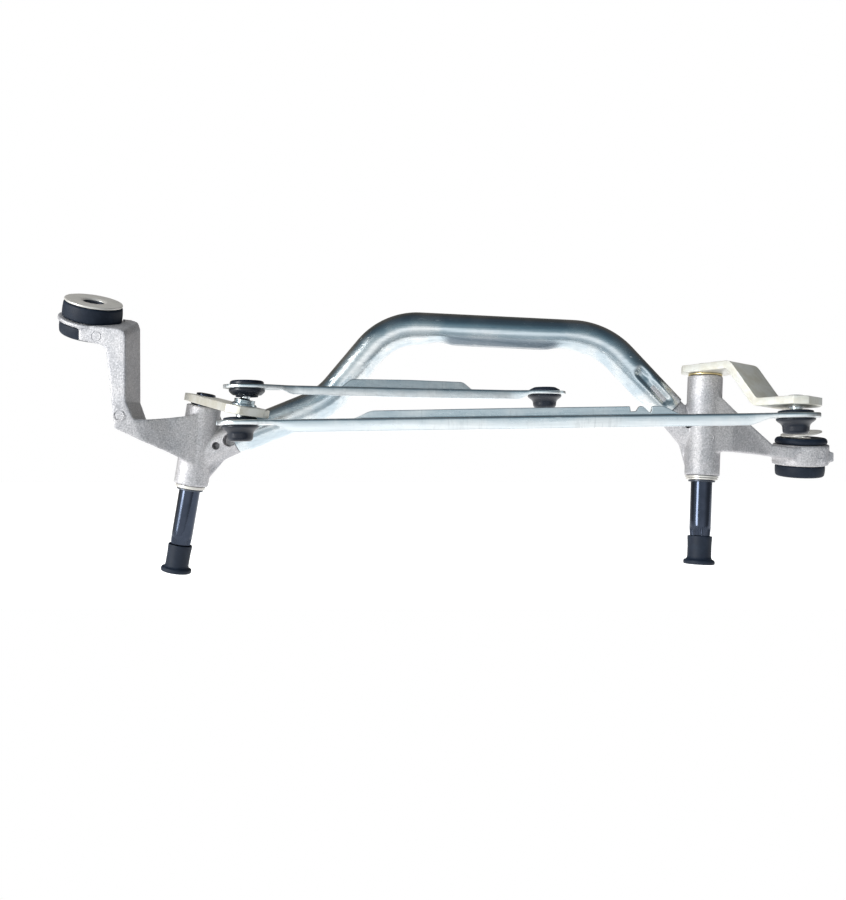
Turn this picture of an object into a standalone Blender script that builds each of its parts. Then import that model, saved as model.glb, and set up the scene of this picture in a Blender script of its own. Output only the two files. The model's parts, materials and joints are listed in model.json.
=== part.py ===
"""Windscreen wiper linkage without its motor: a bent frame tube between two cast pivot housings,
two spindles with crank arms, and two ball-jointed links. Lengths are in millimetres until solid()
scales them. The origin lies midway between the two crank seats; +X runs from the left pivot to the
right one, -Y is the side of the cranks and +Z is away from the wiper arms."""

import math

import bmesh
import bpy
import numpy as np
from mathutils import Matrix, Vector

MM = 0.001
GAP = 0.3  # air between neighbouring pieces
SEGMENTS = 24  # sides of a turned piece

# Pivots: spindle axes lean a little apart, so each has its own direction (pointing up, to the crank).
PIVOT_SPACING = 340.0
PIVOT_RISE = 20.0
LEFT_PIVOT = Vector((-PIVOT_SPACING / 2, 0, -PIVOT_RISE / 2))
RIGHT_PIVOT = Vector((PIVOT_SPACING / 2, 0, PIVOT_RISE / 2))
LEFT_AXIS = Vector((math.tan(math.radians(10.4)), -math.tan(math.radians(2.5)), 1)).normalized()
RIGHT_AXIS = Vector((math.tan(math.radians(2.9)), math.tan(math.radians(3.0)), 1)).normalized()

# Crank arms
CRANK_RADIUS = 70.0
LEFT_HEADING, RIGHT_HEADING = -56.2, -57.8  # degrees from +X, seen from above
CRANK_PLATE = 5.2
CRANK_CHAMFER = 6.0
RIGHT_CRANK_DROP = 26.0
RIGHT_BENDS = (29.0, 50.0)  # where the right arm steps down, from its spindle

# Spindles and housings
SPINDLE_R = 7.0
HOUSING_R = 11.5
BORE_R = 9.6
HOUSING_TOP = -4.2  # along the axis from the crank plate's middle
LEFT_HOUSING_END = -58.5
RIGHT_HOUSING_END = -71.5
BUSH_LENGTH = 12.0
LEFT_CAP_TOP = -100.3
RIGHT_CAP_TOP = -112.0
CAP_LENGTH = 19.2

# Ball joints: stud lengths along the crank's axis
LEFT_LOWER_BALL = -10.0
LEFT_UPPER_BALL = 13.6
RIGHT_BALL = -10.2  # from the right arm's lower flat
BALL_R = 5.2
UPPER_BALL_R = 4.0
OPEN_CLEARANCE = 0.9  # in the right socket, where the closed loop is opened

# Frame tube
TUBE_R = 11.0
TUBE_WALL = 1.5
TUBE_Y = 4.0
SEAT_DEPTH = 10.0  # from the tube's centre line to the flat under the arch
SEAT_FROM, SEAT_TO = -6.0, 68.0
TUBE_SIDES = 20
LEFT_TUBE_END = Vector((-149.7, TUBE_Y, -36.1))
RIGHT_TUBE_END = Vector((146.1, TUBE_Y, -16.6))
TUBE_CORNERS = ((-88.1, -11.2, 50.0), (-44.9, 40.1, 42.0), (99.5, 33.0, 48.0))  # x, z, bend radius
LEFT_SPIGOT, RIGHT_SPIGOT = 28.4, 34.7  # from each tube end to its housing's middle
SPIGOT_R = 10.0
SPIGOT_INSERT = 22.0

# Mounts
LEFT_MOUNT = Vector((-240.4, -18.0, 41.1))
LEFT_MOUNT_AXIS = Vector((math.tan(math.radians(13.5)), -math.tan(math.radians(19)), 1)).normalized()
RIGHT_MOUNT = Vector((243.0, 20.0, -46.8))
RIGHT_MOUNT_AXIS = Vector((0, -math.tan(math.radians(6)), 1)).normalized()
GROMMET_NECK_R = 10.7
LEFT_SLEEVE_R = 6.4
RIGHT_SLEEVE_R = 4.6

# Links
LONG_SHEET = 2.9
SHORT_SHEET = 2.1
LINK_END_R = 14.2
SHORT_LINK_LENGTH = 199.2
SHORT_LINK_HEADING = 17.0
SOCKET_HOLE_R = 8.3

FINISHES = {  # base colour, roughness, metallic
    "zinc_tube": ((0.60, 0.65, 0.68), 0.28, 1.0),
    "cast_aluminium": ((0.52, 0.53, 0.55), 0.60, 0.9),
    "zinc_crank": ((0.62, 0.60, 0.52), 0.42, 0.9),
    "zinc_link": ((0.66, 0.70, 0.72), 0.30, 1.0),
    "polished_steel": ((0.16, 0.18, 0.22), 0.16, 1.0),
    "bright_steel": ((0.74, 0.73, 0.70), 0.25, 1.0),
    "sintered_bronze": ((0.55, 0.40, 0.22), 0.45, 0.9),
    "brass": ((0.68, 0.55, 0.28), 0.35, 1.0),
    "black_rubber": ((0.030, 0.034, 0.045), 0.75, 0.0),
    "black_plastic": ((0.022, 0.026, 0.036), 0.42, 0.0),
    "dark_spring_steel": ((0.10, 0.11, 0.12), 0.40, 0.8),
}


def clear_scene():
    for item in list(bpy.data.objects):
        bpy.data.objects.remove(item, do_unlink=True)


def finish(name):
    found = bpy.data.materials.get(name)
    if found:
        return found
    colour, roughness, metallic = FINISHES[name]
    made = bpy.data.materials.new(name)
    made.use_nodes = True
    shader = made.node_tree.nodes["Principled BSDF"]
    shader.inputs["Base Color"].default_value = (*colour, 1.0)
    shader.inputs["Roughness"].default_value = roughness
    shader.inputs["Metallic"].default_value = metallic
    return made


def axis_empty(name, origin, axis, heading=Vector((1, 0, 0)), parent=None):
    """An empty whose Z lies along axis and whose X is heading, turned square to it."""
    z = axis.normalized()
    x = (heading - z * heading.dot(z)).normalized()
    turn = Matrix((x, z.cross(x), z)).transposed().to_4x4()
    empty = bpy.data.objects.new(name, None)
    bpy.context.collection.objects.link(empty)
    empty.matrix_world = Matrix.Translation(origin * MM) @ turn
    if parent:
        bpy.context.view_layer.update()
        empty.parent = parent
        empty.matrix_parent_inverse = parent.matrix_world.inverted()
    return empty


def solid(name, points, faces, look, parent=None):
    """One closed body from points in millimetres, in its parent empty's frame, faces pointing out."""
    mesh = bpy.data.meshes.new(name)
    mesh.from_pydata([tuple(float(c) * MM for c in p) for p in points], [], faces)
    shell = bmesh.new()
    shell.from_mesh(mesh)
    bmesh.ops.recalc_face_normals(shell, faces=shell.faces)
    shell.to_mesh(mesh)
    shell.free()
    mesh.shade_smooth()
    mesh.set_sharp_from_angle(angle=math.radians(35))
    mesh.materials.append(finish(look))
    body = bpy.data.objects.new(name, mesh)
    bpy.context.collection.objects.link(body)
    if parent:
        body.parent = parent
    return body


def ring_faces(rings, sides, closed):
    """Quads between neighbouring rings of points, and from the last ring to the first if closed."""
    pairs = [(i, i + 1) for i in range(rings - 1)]
    if closed:
        pairs.append((rings - 1, 0))
    faces = []
    for a, b in pairs:
        for k in range(sides):
            n = (k + 1) % sides
            faces.append((a * sides + k, a * sides + n, b * sides + n, b * sides + k))
    return faces


def lathe(name, profile, look, parent=None, segments=SEGMENTS):
    """Turns (radius, height) points about Z. A profile that starts and ends on the axis is a plain
    turned body; any other is the closed outline of a ring."""
    turned = profile[0][0] == 0
    rows = profile[1:-1] if turned else profile
    angle = np.arange(segments) * 2 * np.pi / segments
    points = [(r * c, r * s, z) for r, z in rows for c, s in zip(np.cos(angle), np.sin(angle))]
    faces = ring_faces(len(rows), segments, closed=not turned)
    if turned:
        first, last = len(points), len(points) + 1
        points += [(0, 0, profile[0][1]), (0, 0, profile[-1][1])]
        base = (len(rows) - 1) * segments
        for k in range(segments):
            n = (k + 1) % segments
            faces.append((first, k, n))
            faces.append((last, base + k, base + n))
    return solid(name, points, faces, look, parent)


def ring(name, inner, outer, low, high, look, parent):
    return lathe(name, [(inner, low), (outer, low), (outer, high), (inner, high)], look, parent)


def loft(name, sections, look, parent=None):
    """Joins outlines with the same number of points, and closes both ends."""
    sides = len(sections[0])
    points = [p for section in sections for p in section]
    faces = ring_faces(len(sections), sides, closed=False)
    last = (len(sections) - 1) * sides
    faces += [tuple(range(sides)), tuple(range(last, last + sides))]
    return solid(name, points, faces, look, parent)


def slab(name, outline, front, back, look):
    """A flat piece with an (x, z) outline, from y = front to y = back."""
    return loft(name, [[(x, y, z) for x, z in outline] for y in (front, back)], look)


def combine(target, other, operation):
    """Joins other to target, or cuts it out, and hides other as a construction piece."""
    step = target.modifiers.new(operation.lower(), "BOOLEAN")
    step.operation = operation
    step.object = other
    step.solver = "EXACT"
    other.hide_render = True
    other.display_type = "WIRE"


def arc(centre, radius, start, end, steps):
    """Points (r, z) along a circle about centre, angles in degrees from the radius direction."""
    angles = np.radians(np.linspace(start, end, steps))
    return [(centre[0] + radius * math.cos(a), centre[1] + radius * math.sin(a)) for a in angles]


# ---------------------------------------------------------------- crank arms and spindles


def arm_section(u, half_width, z=0.0, tilt=0.0):
    """Four corners across a crank arm; at a bend the cut is tilted and its depth grows to match."""
    depth = CRANK_PLATE / 2 / math.cos(tilt)
    du, dz = depth * math.sin(tilt), depth * math.cos(tilt)
    return [
        (u - du, -half_width, z - dz),
        (u - du, half_width, z - dz),
        (u + du, half_width, z + dz),
        (u + du, -half_width, z + dz),
    ]


def crank_arm(name, parent, stations, stud_z, drill_r):
    arm = loft(name, [arm_section(*s) for s in stations], "zinc_crank", parent)
    for label, u, z, r in (("spindle", 0.0, 0.0, 5.3), ("stud", CRANK_RADIUS, stud_z, drill_r)):
        half = CRANK_PLATE
        drill = lathe(f"{name}_{label}_drill", [(0, z - half), (r, z - half), (r, z + half), (0, z + half)],
                      "zinc_crank", parent)
        drill.location.x = u * MM
        combine(arm, drill, "DIFFERENCE")
    return arm


def left_crank_arm(pivot):
    near, far, c = 12.5, 14.1, CRANK_CHAMFER
    end = CRANK_RADIUS + far
    stations = [(-near, near - c), (-near + c, near), (end - c, far), (end, far - c)]
    return crank_arm("left_crank_arm", pivot, stations, 0.0, 4.0)


def right_crank_arm(pivot):
    near, far, c = 14.0, 13.0, CRANK_CHAMFER
    first, second = RIGHT_BENDS
    tilt = math.atan2(RIGHT_CRANK_DROP, second - first) / 2
    low = -RIGHT_CRANK_DROP
    end = CRANK_RADIUS + far
    stations = [(-near, near - c), (-near + c, near), (first, near, 0, tilt), (second, near, low, tilt)]
    stations += [(end - c, far, low), (end, far - c, low)]
    return crank_arm("right_crank_arm", pivot, stations, low, 4.0)


def spindle(name, pivot, cap_top):
    """Rivet head, shank through the arm, journal, knurled taper and thread, down the axis."""
    seat = CRANK_PLATE / 2 + GAP
    profile = [(0, seat + 1.8), (5.2, seat + 1.8), (6.4, seat + 1.0), (6.4, seat), (5.0, seat)]
    profile += [(5.0, -seat), (SPINDLE_R, -seat), (SPINDLE_R, cap_top + 6.0), (6.6, cap_top + 5.4), (6.1, cap_top - 5.0)]
    profile += [(4.3, cap_top - 5.6), (4.3, cap_top - 14.5), (0, cap_top - 14.5)]
    return lathe(name, profile, "polished_steel", pivot)


def spindle_cap(name, pivot, top):
    """Rubber transport cap, pushed over the taper, with a flange round its closed end."""
    end = top - CAP_LENGTH
    profile = [(0, top - 15.2), (4.8, top - 15.2), (7.0, top - 6.4), (7.0, top), (8.0, top)]
    profile += [(8.0, end + 3.4), (10.3, end + 3.0), (10.3, end + 0.5), (9.8, end), (0, end)]
    return lathe(name, profile, "black_rubber", pivot)


def left_crank_parts(pivot):
    left_crank_arm(pivot)
    spindle("left_spindle", pivot, LEFT_CAP_TOP)
    spindle_cap("left_spindle_cap", pivot, LEFT_CAP_TOP)
    ring("left_o_ring", 7.4, 9.0, HOUSING_TOP + GAP, -CRANK_PLATE / 2 - GAP, "black_rubber", pivot)
    low = LEFT_HOUSING_END - GAP
    ring("left_thrust_washer", 7.4, 9.9, low - 2.0, low, "bright_steel", pivot)
    ring("left_retaining_ring", 7.3, 8.7, low - 3.5, low - 2.3, "dark_spring_steel", pivot)
    left_double_ball_stud(pivot)


def right_crank_parts(pivot):
    right_crank_arm(pivot)
    spindle("right_spindle", pivot, RIGHT_CAP_TOP)
    spindle_cap("right_spindle_cap", pivot, RIGHT_CAP_TOP)
    top = -CRANK_PLATE / 2 - GAP
    ring("right_top_shim", 9.1, 11.0, HOUSING_TOP + GAP, top, "brass", pivot)
    ring("right_o_ring", 7.4, 8.8, HOUSING_TOP + GAP, top, "black_rubber", pivot)
    low = RIGHT_HOUSING_END - GAP
    ring("right_thrust_washer", 7.4, 10.7, low - 1.1, low, "bright_steel", pivot)
    ring("right_wave_washer", 7.4, 10.2, low - 2.5, low - 1.4, "bright_steel", pivot)
    ring("right_retaining_ring", 7.3, 8.7, low - 3.9, low - 2.8, "dark_spring_steel", pivot)
    right_ball_stud(pivot)


def left_double_ball_stud(pivot):
    """Riveted stud with a ball under the arm for the long link and one above for the short link."""
    seat = CRANK_PLATE / 2 + GAP
    low, high = LEFT_LOWER_BALL, LEFT_UPPER_BALL
    profile = [(0, low - BALL_R)] + arc((0, low), BALL_R, -60, 44, 6)
    profile += [(3.6, -seat - 0.4), (4.6, -seat - 0.4), (4.6, -seat), (3.7, -seat), (3.7, seat)]
    profile += [(7.8, seat), (7.4, seat + 1.2), (6.0, seat + 2.0), (6.4, seat + 3.5), (2.7, seat + 3.7)]
    profile += arc((0, high), UPPER_BALL_R, -46, 60, 6) + [(0, high + UPPER_BALL_R)]
    stud = lathe("left_double_ball_stud", profile, "bright_steel", pivot, segments=20)
    stud.location.x = CRANK_RADIUS * MM


def right_ball_stud(pivot):
    seat = CRANK_PLATE / 2 + GAP
    flat = -RIGHT_CRANK_DROP
    low = flat + RIGHT_BALL
    profile = [(0, low - BALL_R)] + arc((0, low), BALL_R, -60, 44, 6)
    profile += [(3.6, flat - seat - 0.9), (4.6, flat - seat - 0.9), (4.6, flat - seat), (3.7, flat - seat)]
    profile += [(3.7, flat + seat), (5.4, flat + seat), (4.8, flat + seat + 1.2), (0, flat + seat + 1.4)]
    stud = lathe("right_ball_stud", profile, "bright_steel", pivot, segments=20)
    stud.location.x = CRANK_RADIUS * MM


# ---------------------------------------------------------------- links


def strip_section(u, half_width, sheet, mid, down, up):
    """Outline across a stamped link: a flat sheet, its -y edge turned down and its +y edge up."""
    low, high, w = mid - sheet / 2, mid + sheet / 2, half_width
    return [
        (u, w, high + up),
        (u, w, low),
        (u, -w + sheet, low),
        (u, -w + sheet, low - down),
        (u, -w, low - down),
        (u, -w, high),
        (u, w - sheet, high),
        (u, w - sheet, high + up),
    ]


def link_rod(name, parent, length, sheet, mid, waist, flanges):
    """Round flat ends about both sockets, and a waist whose flanges rise and fall along it.
    flanges holds (distance from the left socket, depth down, height up)."""
    flat = 0.15
    half_turn = [math.radians(a) for a in (12, 35, 60, 85)]
    stations = [(-LINK_END_R * math.cos(a), LINK_END_R * math.sin(a), flat, flat) for a in half_turn]
    stations += [(u, waist, down, up) for u, down, up in flanges]
    far = [(length + LINK_END_R * math.cos(a), LINK_END_R * math.sin(a), flat, flat) for a in half_turn]
    stations += far[::-1]
    rod = loft(name, [strip_section(u, max(w, sheet + 0.3), sheet, mid, d, h) for u, w, d, h in stations],
               "zinc_link", parent)
    for label, u in (("left", 0.0), ("right", length)):
        hole = [(0, mid - 4), (SOCKET_HOLE_R, mid - 4), (SOCKET_HOLE_R, mid + 4), (0, mid + 4)]
        punch = lathe(f"{name}_{label}_punch", hole, "zinc_link", parent)
        punch.location.x = u * MM
        combine(rod, punch, "DIFFERENCE")
    return rod


def cup_socket(name, parent, u, mid, sheet, cavity):
    """Plastic ball cup pressed through the link's hole, with its flange and cup under the sheet."""
    under = mid - sheet / 2 - GAP
    profile = [(0, -6.9), (cavity * 0.6, -6.4), (cavity, -3.2), (cavity, mid + sheet / 2)]
    profile += [(8.0, mid + sheet / 2), (8.0, under), (11.5, under), (11.5, under - 1.9)]
    profile += [(9.2, under - 3.9), (7.8, under - 4.5), (7.3, -8.9), (6.4, -9.5), (0, -9.5)]
    socket = lathe(name, profile, "black_plastic", parent)
    socket.location.x = u * MM


def stud_seal(name, parent, u, mid, sheet, height=1.8):
    """Rubber seal on top of the sheet, round the stud's neck: a low rim that rises towards its hole."""
    low = mid + sheet / 2 + GAP
    profile = [(5.6, low), (10.3, low), (10.3, low + 0.9), (9.7, low + 1.3)]
    profile += [(7.0, low + height), (5.6, low + height)]
    seal = lathe(name, profile, "black_rubber", parent)
    seal.location.x = u * MM


def long_link_parts(link, length):
    mid = 2.1
    flanges = [(19, 0.15, 0.15), (35, 4.9, 0.15), (66, 4.9, 0.3), (82, 4.9, 5.0), (200, 4.6, 5.5)]
    flanges += [(259, 4.4, 5.6), (277, 4.4, 0.3), (305, 4.4, 0.15), (327, 0.15, 0.15)]
    link_rod("long_link_rod", link, length, LONG_SHEET, mid, 8.5, flanges)
    cup_socket("long_link_left_socket", link, 0.0, mid, LONG_SHEET, BALL_R + 0.4)
    cup_socket("long_link_right_socket", link, length, mid, LONG_SHEET, BALL_R + OPEN_CLEARANCE)
    stud_seal("long_link_left_seal", link, 0.0, mid, LONG_SHEET)
    stud_seal("long_link_right_seal", link, length, mid, LONG_SHEET)


def short_link_parts(link, boot):
    mid, length, sheet = 0.8, SHORT_LINK_LENGTH, SHORT_SHEET
    flanges = [(17, 0.15, 0.15), (26, 3.2, 0.15), (59, 3.6, 0.3), (67, 3.8, 5.6), (142, 4.2, 5.6)]
    flanges += [(150, 4.2, 0.3), (177, 3.8, 0.15), (185, 0.15, 0.15)]
    link_rod("short_link_rod", link, length, sheet, mid, 7.5, flanges)
    top, under = mid + sheet / 2, mid - sheet / 2 - GAP
    cavity = UPPER_BALL_R + 0.4
    profile = [(0, top + 2.7), (9.9, top + 2.7), (10.4, top + 2.1), (10.4, top + GAP), (8.0, top + GAP)]
    profile += [(8.0, under), (11.3, under), (11.3, under - 1.8), (9.4, under - 3.8), (4.3, under - 3.8)]
    profile += [(cavity, -2.0), (cavity, 3.0), (2.2, 4.4), (0, 4.4)]
    lathe("short_link_left_socket", profile, "black_plastic", link)
    cup_socket("short_link_right_socket", link, length, mid, sheet, BALL_R)
    stud_seal("short_link_right_seal", link, length, mid, sheet, height=2.6)
    ring("short_link_left_seal", 4.0, 6.8, under - 4.9, under - 4.1, "black_rubber", boot)


# ---------------------------------------------------------------- frame


def tube_stations():
    """Centre line in the tube's plane as (x, z, direction): straight runs joined by bends."""
    ends = [(LEFT_TUBE_END.x, LEFT_TUBE_END.z), (RIGHT_TUBE_END.x, RIGHT_TUBE_END.z)]
    corners = [ends[0]] + [(x, z) for x, z, _ in TUBE_CORNERS] + [ends[1]]
    headings = [math.atan2(b[1] - a[1], b[0] - a[0]) for a, b in zip(corners, corners[1:])]
    stations = [(*ends[0], headings[0])]
    for (x, z, radius), before, after in zip(TUBE_CORNERS, headings, headings[1:]):
        turn = after - before
        tangent = radius * abs(math.tan(turn / 2))
        side = math.copysign(1, turn)
        start = Vector((x - tangent * math.cos(before), z - tangent * math.sin(before)))
        centre = start + Vector((-math.sin(before), math.cos(before))) * radius * side
        steps = max(3, round(abs(math.degrees(turn)) / 9))
        for heading in np.linspace(before, after, steps + 1):
            out = Vector((math.sin(heading), -math.cos(heading))) * radius * side
            stations.append((centre.x + out.x, centre.y + out.y, heading))
    stations.append((*ends[1], headings[-1]))
    return seat_stations(stations)


def seat_stations(stations):
    """Adds stations on the top run where the flat seat under it starts and ends."""
    added = []
    for a, b in zip(stations, stations[1:]):
        added.append(a)
        for x in (SEAT_FROM - 3, SEAT_FROM, SEAT_TO, SEAT_TO + 3):
            if a[0] < x < b[0] and abs(a[2] - b[2]) < 1e-6:
                added.append((x, a[1] + (b[1] - a[1]) * (x - a[0]) / (b[0] - a[0]), a[2]))
    return added + [stations[-1]]


def tube_ring(station, radius, seat):
    """A round section square to the centre line, cut flat underneath along the seat."""
    x, z, heading = station
    floor = seat if SEAT_FROM <= x <= SEAT_TO else radius
    points = []
    for k in range(TUBE_SIDES):
        angle = 2 * math.pi * (k + 0.5) / TUBE_SIDES
        y, up = radius * math.cos(angle), max(radius * math.sin(angle), -floor)
        points.append((x - up * math.sin(heading), TUBE_Y + y, z + up * math.cos(heading)))
    return points


def frame_tube():
    """Hollow tube: the outer skin, back along the inner one, and a ring face at each end."""
    stations = tube_stations()
    outer = [tube_ring(s, TUBE_R, SEAT_DEPTH) for s in stations]
    inner = [tube_ring(s, TUBE_R - TUBE_WALL, SEAT_DEPTH - TUBE_WALL) for s in stations]
    rows = outer + inner[::-1]
    points = [p for row in rows for p in row]
    return solid("frame_tube", points, ring_faces(len(rows), TUBE_SIDES, closed=True), "zinc_tube")


def spigot(name, tube_end, corner, length):
    """Cast stub that carries the tube, in line with its last run: a thick collar, then the part inside it."""
    axis = (Vector((corner[0], TUBE_Y, corner[1])) - tube_end).normalized()
    reach = length - GAP
    stem = axis_empty(f"{name}_line", tube_end - axis * length, axis, Vector((0, 0, 1)))
    thin = TUBE_R - TUBE_WALL - 2 * GAP
    profile = [(0, 0), (SPIGOT_R + 0.6, 0), (SPIGOT_R, reach), (thin, reach)]
    profile += [(thin, reach + SPIGOT_INSERT), (0, reach + SPIGOT_INSERT)]
    return lathe(name, profile, "cast_aluminium", stem)


def drill_front(target, name, x, z, radius, depth):
    """A blind round pocket in the front of a casting."""
    front = axis_empty(f"{name}_line", Vector((x, TUBE_Y - SPIGOT_R - 4, z)), Vector((0, 1, 0)))
    hole = [(0, 0), (radius, 0), (radius, depth + 4), (0, depth + 4)]
    combine(target, lathe(name, hole, "cast_aluminium", front, 16), "DIFFERENCE")


def quad(front, back, outer, inner, back_outer=None, back_inner=None):
    """Section across an arm: outer and inner (x, z) edges at the front and back faces."""
    far_outer, far_inner = back_outer or outer, back_inner or inner
    return [
        (outer[0], front, outer[1]),
        (inner[0], front, inner[1]),
        (far_inner[0], back, far_inner[1]),
        (far_outer[0], back, far_outer[1]),
    ]


def left_arm():
    """Arm of the left mount: block beside the grommet, upright leg, then the web to the housing."""
    front, back = -37.0, -6.0
    sections = [
        quad(front, back, (-242, 36.5), (-242, 26.0), (-242, 47.0), (-242, 36.5)),
        quad(front, back, (-214.5, 33.0), (-226.0, 22.0), (-215.0, 43.0), (-226.0, 33.0)),
        quad(front, back, (-211.8, 29.0), (-224.2, 18.5), (-212.2, 39.5), (-224.0, 29.5)),
        quad(front, back, (-211.8, -12.7), (-221.0, -12.7)),
        quad(front + 2, back, (-207.8, -24.0), (-220.0, -30.0)),
        quad(front + 6, back - 2, (-200.0, -24.2), (-203.0, -38.5)),
        quad(-20.5, -9.0, (-190.0, -23.0), (-191.0, -45.0)),
        quad(-11.0, -2.0, (-171.3, -20.2), (-176.3, -53.6)),
    ]
    return loft("left_arm", sections, "cast_aluminium")


def barrel(name, end, pivot):
    return ring(name, BORE_R, HOUSING_R, end, HOUSING_TOP, "cast_aluminium", pivot)


def left_pivot_housing(pivot, mount):
    body = barrel("left_pivot_housing", LEFT_HOUSING_END, pivot)
    for extra in (
        spigot("left_spigot", LEFT_TUBE_END, TUBE_CORNERS[0], LEFT_SPIGOT),
        left_arm(),
        lathe("left_lip", [(0, -1.5), (21.0, -1.5), (21.0, 1.5), (0, 1.5)], "cast_aluminium", mount),
        slab("left_lower_rib", [(-171.0, -48.0), (-175.0, -62.0), (-168.6, -63.5), (-157.5, -50.5)],
             2.0, 5.0, "cast_aluminium"),
        slab("left_upper_rib", [(-171.0, -40.0), (-165.0, -17.5), (-161.5, -19.0), (-156.5, -31.0)],
             2.0, 5.0, "cast_aluminium"),
    ):
        combine(body, extra, "UNION")
    cut_bore(body, "left", pivot, LEFT_HOUSING_END)
    pocket = [(0, -15.0), (20.4, -15.0), (20.4, -1.5), (GROMMET_NECK_R + GAP, -1.5)]
    pocket += [(GROMMET_NECK_R + GAP, 1.5), (20.9, 1.5), (20.9, 16.0), (0, 16.0)]
    combine(body, lathe("left_grommet_pocket", pocket, "cast_aluminium", mount), "DIFFERENCE")
    drill_front(body, "left_small_pocket", -164.0, -41.2, 2.7, 6.0)
    drill_front(body, "left_large_pocket", -154.4, -37.5, 4.6, 6.0)


def cut_bore(body, side, pivot, end):
    """Clears the spindle's bore through everything that was joined to the housing."""
    bore = [(0, end - 8), (BORE_R, end - 8), (BORE_R, HOUSING_TOP + 8), (0, HOUSING_TOP + 8)]
    combine(body, lathe(f"{side}_bore", bore, "cast_aluminium", pivot), "DIFFERENCE")


def right_arm():
    """Web from the right housing, thinning as it runs back to the mount's pad."""
    sections = [
        quad(-11.0, 0.0, (166.0, 2.5), (166.0, -45.0)),
        quad(-9.5, 3.0, (186.0, -17.0), (184.0, -45.0)),
        quad(1.8, 16.0, (217.0, -40.5), (214.0, -47.8)),
        quad(2.2, 30.0, (232.0, -43.0), (232.0, -50.0)),
    ]
    return loft("right_arm", sections, "cast_aluminium")


def right_pivot_housing(pivot, mount):
    body = barrel("right_pivot_housing", RIGHT_HOUSING_END, pivot)
    half = 7.2
    for extra in (
        spigot("right_spigot", RIGHT_TUBE_END, TUBE_CORNERS[-1], RIGHT_SPIGOT),
        right_arm(),
        lathe("right_boss", [(0, -half), (18.5, -half), (18.5, half), (0, half)], "cast_aluminium", mount),
        slab("right_pad_corner", [(243.0, -53.2), (254.0, -53.2), (254.0, -42.2), (243.0, -42.2)],
             2.2, 24.0, "cast_aluminium"),
        slab("right_front_plate", [(224.0, -47.4), (250.0, -47.2), (250.0, -42.6), (224.0, -42.6)],
             1.9, 20.0, "cast_aluminium"),
        slab("right_hook_neck", [(252.0, -49.0), (260.0, -49.0), (260.0, -45.5), (252.0, -45.5)],
             10.0, 15.0, "cast_aluminium"),
        slab("right_hook_tip", [(258.8, -52.5), (262.0, -52.5), (262.0, -45.6), (258.8, -45.6)],
             9.5, 15.5, "cast_aluminium"),
        slab("right_lower_rib", [(168.0, -36.0), (166.5, -58.5), (157.5, -57.0), (153.0, -40.0)],
             2.0, 5.0, "cast_aluminium"),
    ):
        combine(body, extra, "UNION")
    cut_bore(body, "right", pivot, RIGHT_HOUSING_END)
    neck = GROMMET_NECK_R + GAP
    hole = [(0, -half - 9), (neck, -half - 9), (neck, half + 9), (0, half + 9)]
    combine(body, lathe("right_grommet_bore", hole, "cast_aluminium", mount), "DIFFERENCE")
    drill_front(body, "right_pocket", 156.5, -27.0, 2.5, 6.0)


def bushes(side, pivot, end):
    """Two plain bearings, pressed in at the top and the bottom of a housing's bore."""
    for place, low in (("upper", HOUSING_TOP - BUSH_LENGTH - 1), ("lower", end + 1)):
        high = low + BUSH_LENGTH
        ring(f"{side}_{place}_bush", SPINDLE_R + GAP, BORE_R - GAP, low, high, "sintered_bronze", pivot)


def grommet(side, mount, plate, upper, lower, sleeve_r):
    """Two rubber halves whose necks meet inside the plate; plate is half the casting's thickness.
    upper and lower hold each half's outer radius and its far face along the axis."""
    hole = sleeve_r + 2.0 + GAP
    for place, sign, (radius, far) in (("upper", 1, upper), ("lower", -1, lower)):
        face = sign * (plate + GAP)
        profile = [(hole, sign * GAP / 2), (GROMMET_NECK_R, sign * GAP / 2), (GROMMET_NECK_R, face)]
        profile += [(radius - 0.5, face), (radius, face + sign * 0.6), (radius, far - sign * 1.0)]
        profile += [(radius - 1.0, far), (hole, far)]
        lathe(f"{side}_grommet_{place}", profile, "black_rubber", mount)


def left_mount_parts(mount):
    top = 12.0
    grommet("left", mount, 1.5, (18.8, top), (19.8, -9.8), LEFT_SLEEVE_R)
    tube_r = LEFT_SLEEVE_R + 2.0
    washer = top + GAP
    profile = [(LEFT_SLEEVE_R, -9.8), (tube_r, -9.8), (tube_r, washer), (18.1, washer), (18.1, washer + 1.3)]
    lathe("left_grommet_sleeve", profile + [(LEFT_SLEEVE_R, washer + 1.3)], "bright_steel", mount)


def right_mount_parts(mount):
    top, bottom = 11.6, -15.4
    grommet("right", mount, 7.2, (17.2, top), (16.4, bottom), RIGHT_SLEEVE_R)
    ring("right_grommet_sleeve", RIGHT_SLEEVE_R, RIGHT_SLEEVE_R + 2.0, bottom, top, "bright_steel", mount)
    lean = Vector((-math.tan(math.radians(8)), 0, 0))
    middle = RIGHT_MOUNT + RIGHT_MOUNT_AXIS * 14.5
    seat = axis_empty("right_washer_seat", middle, RIGHT_MOUNT_AXIS + lean)
    ring("right_grommet_washer", 6.4, 13.5, -0.5, 0.5, "bright_steel", seat)


# ---------------------------------------------------------------- assembly


def level(heading):
    """Unit direction in the XY plane at an angle in degrees from +X."""
    return Vector((math.cos(math.radians(heading)), math.sin(math.radians(heading)), 0))


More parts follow.
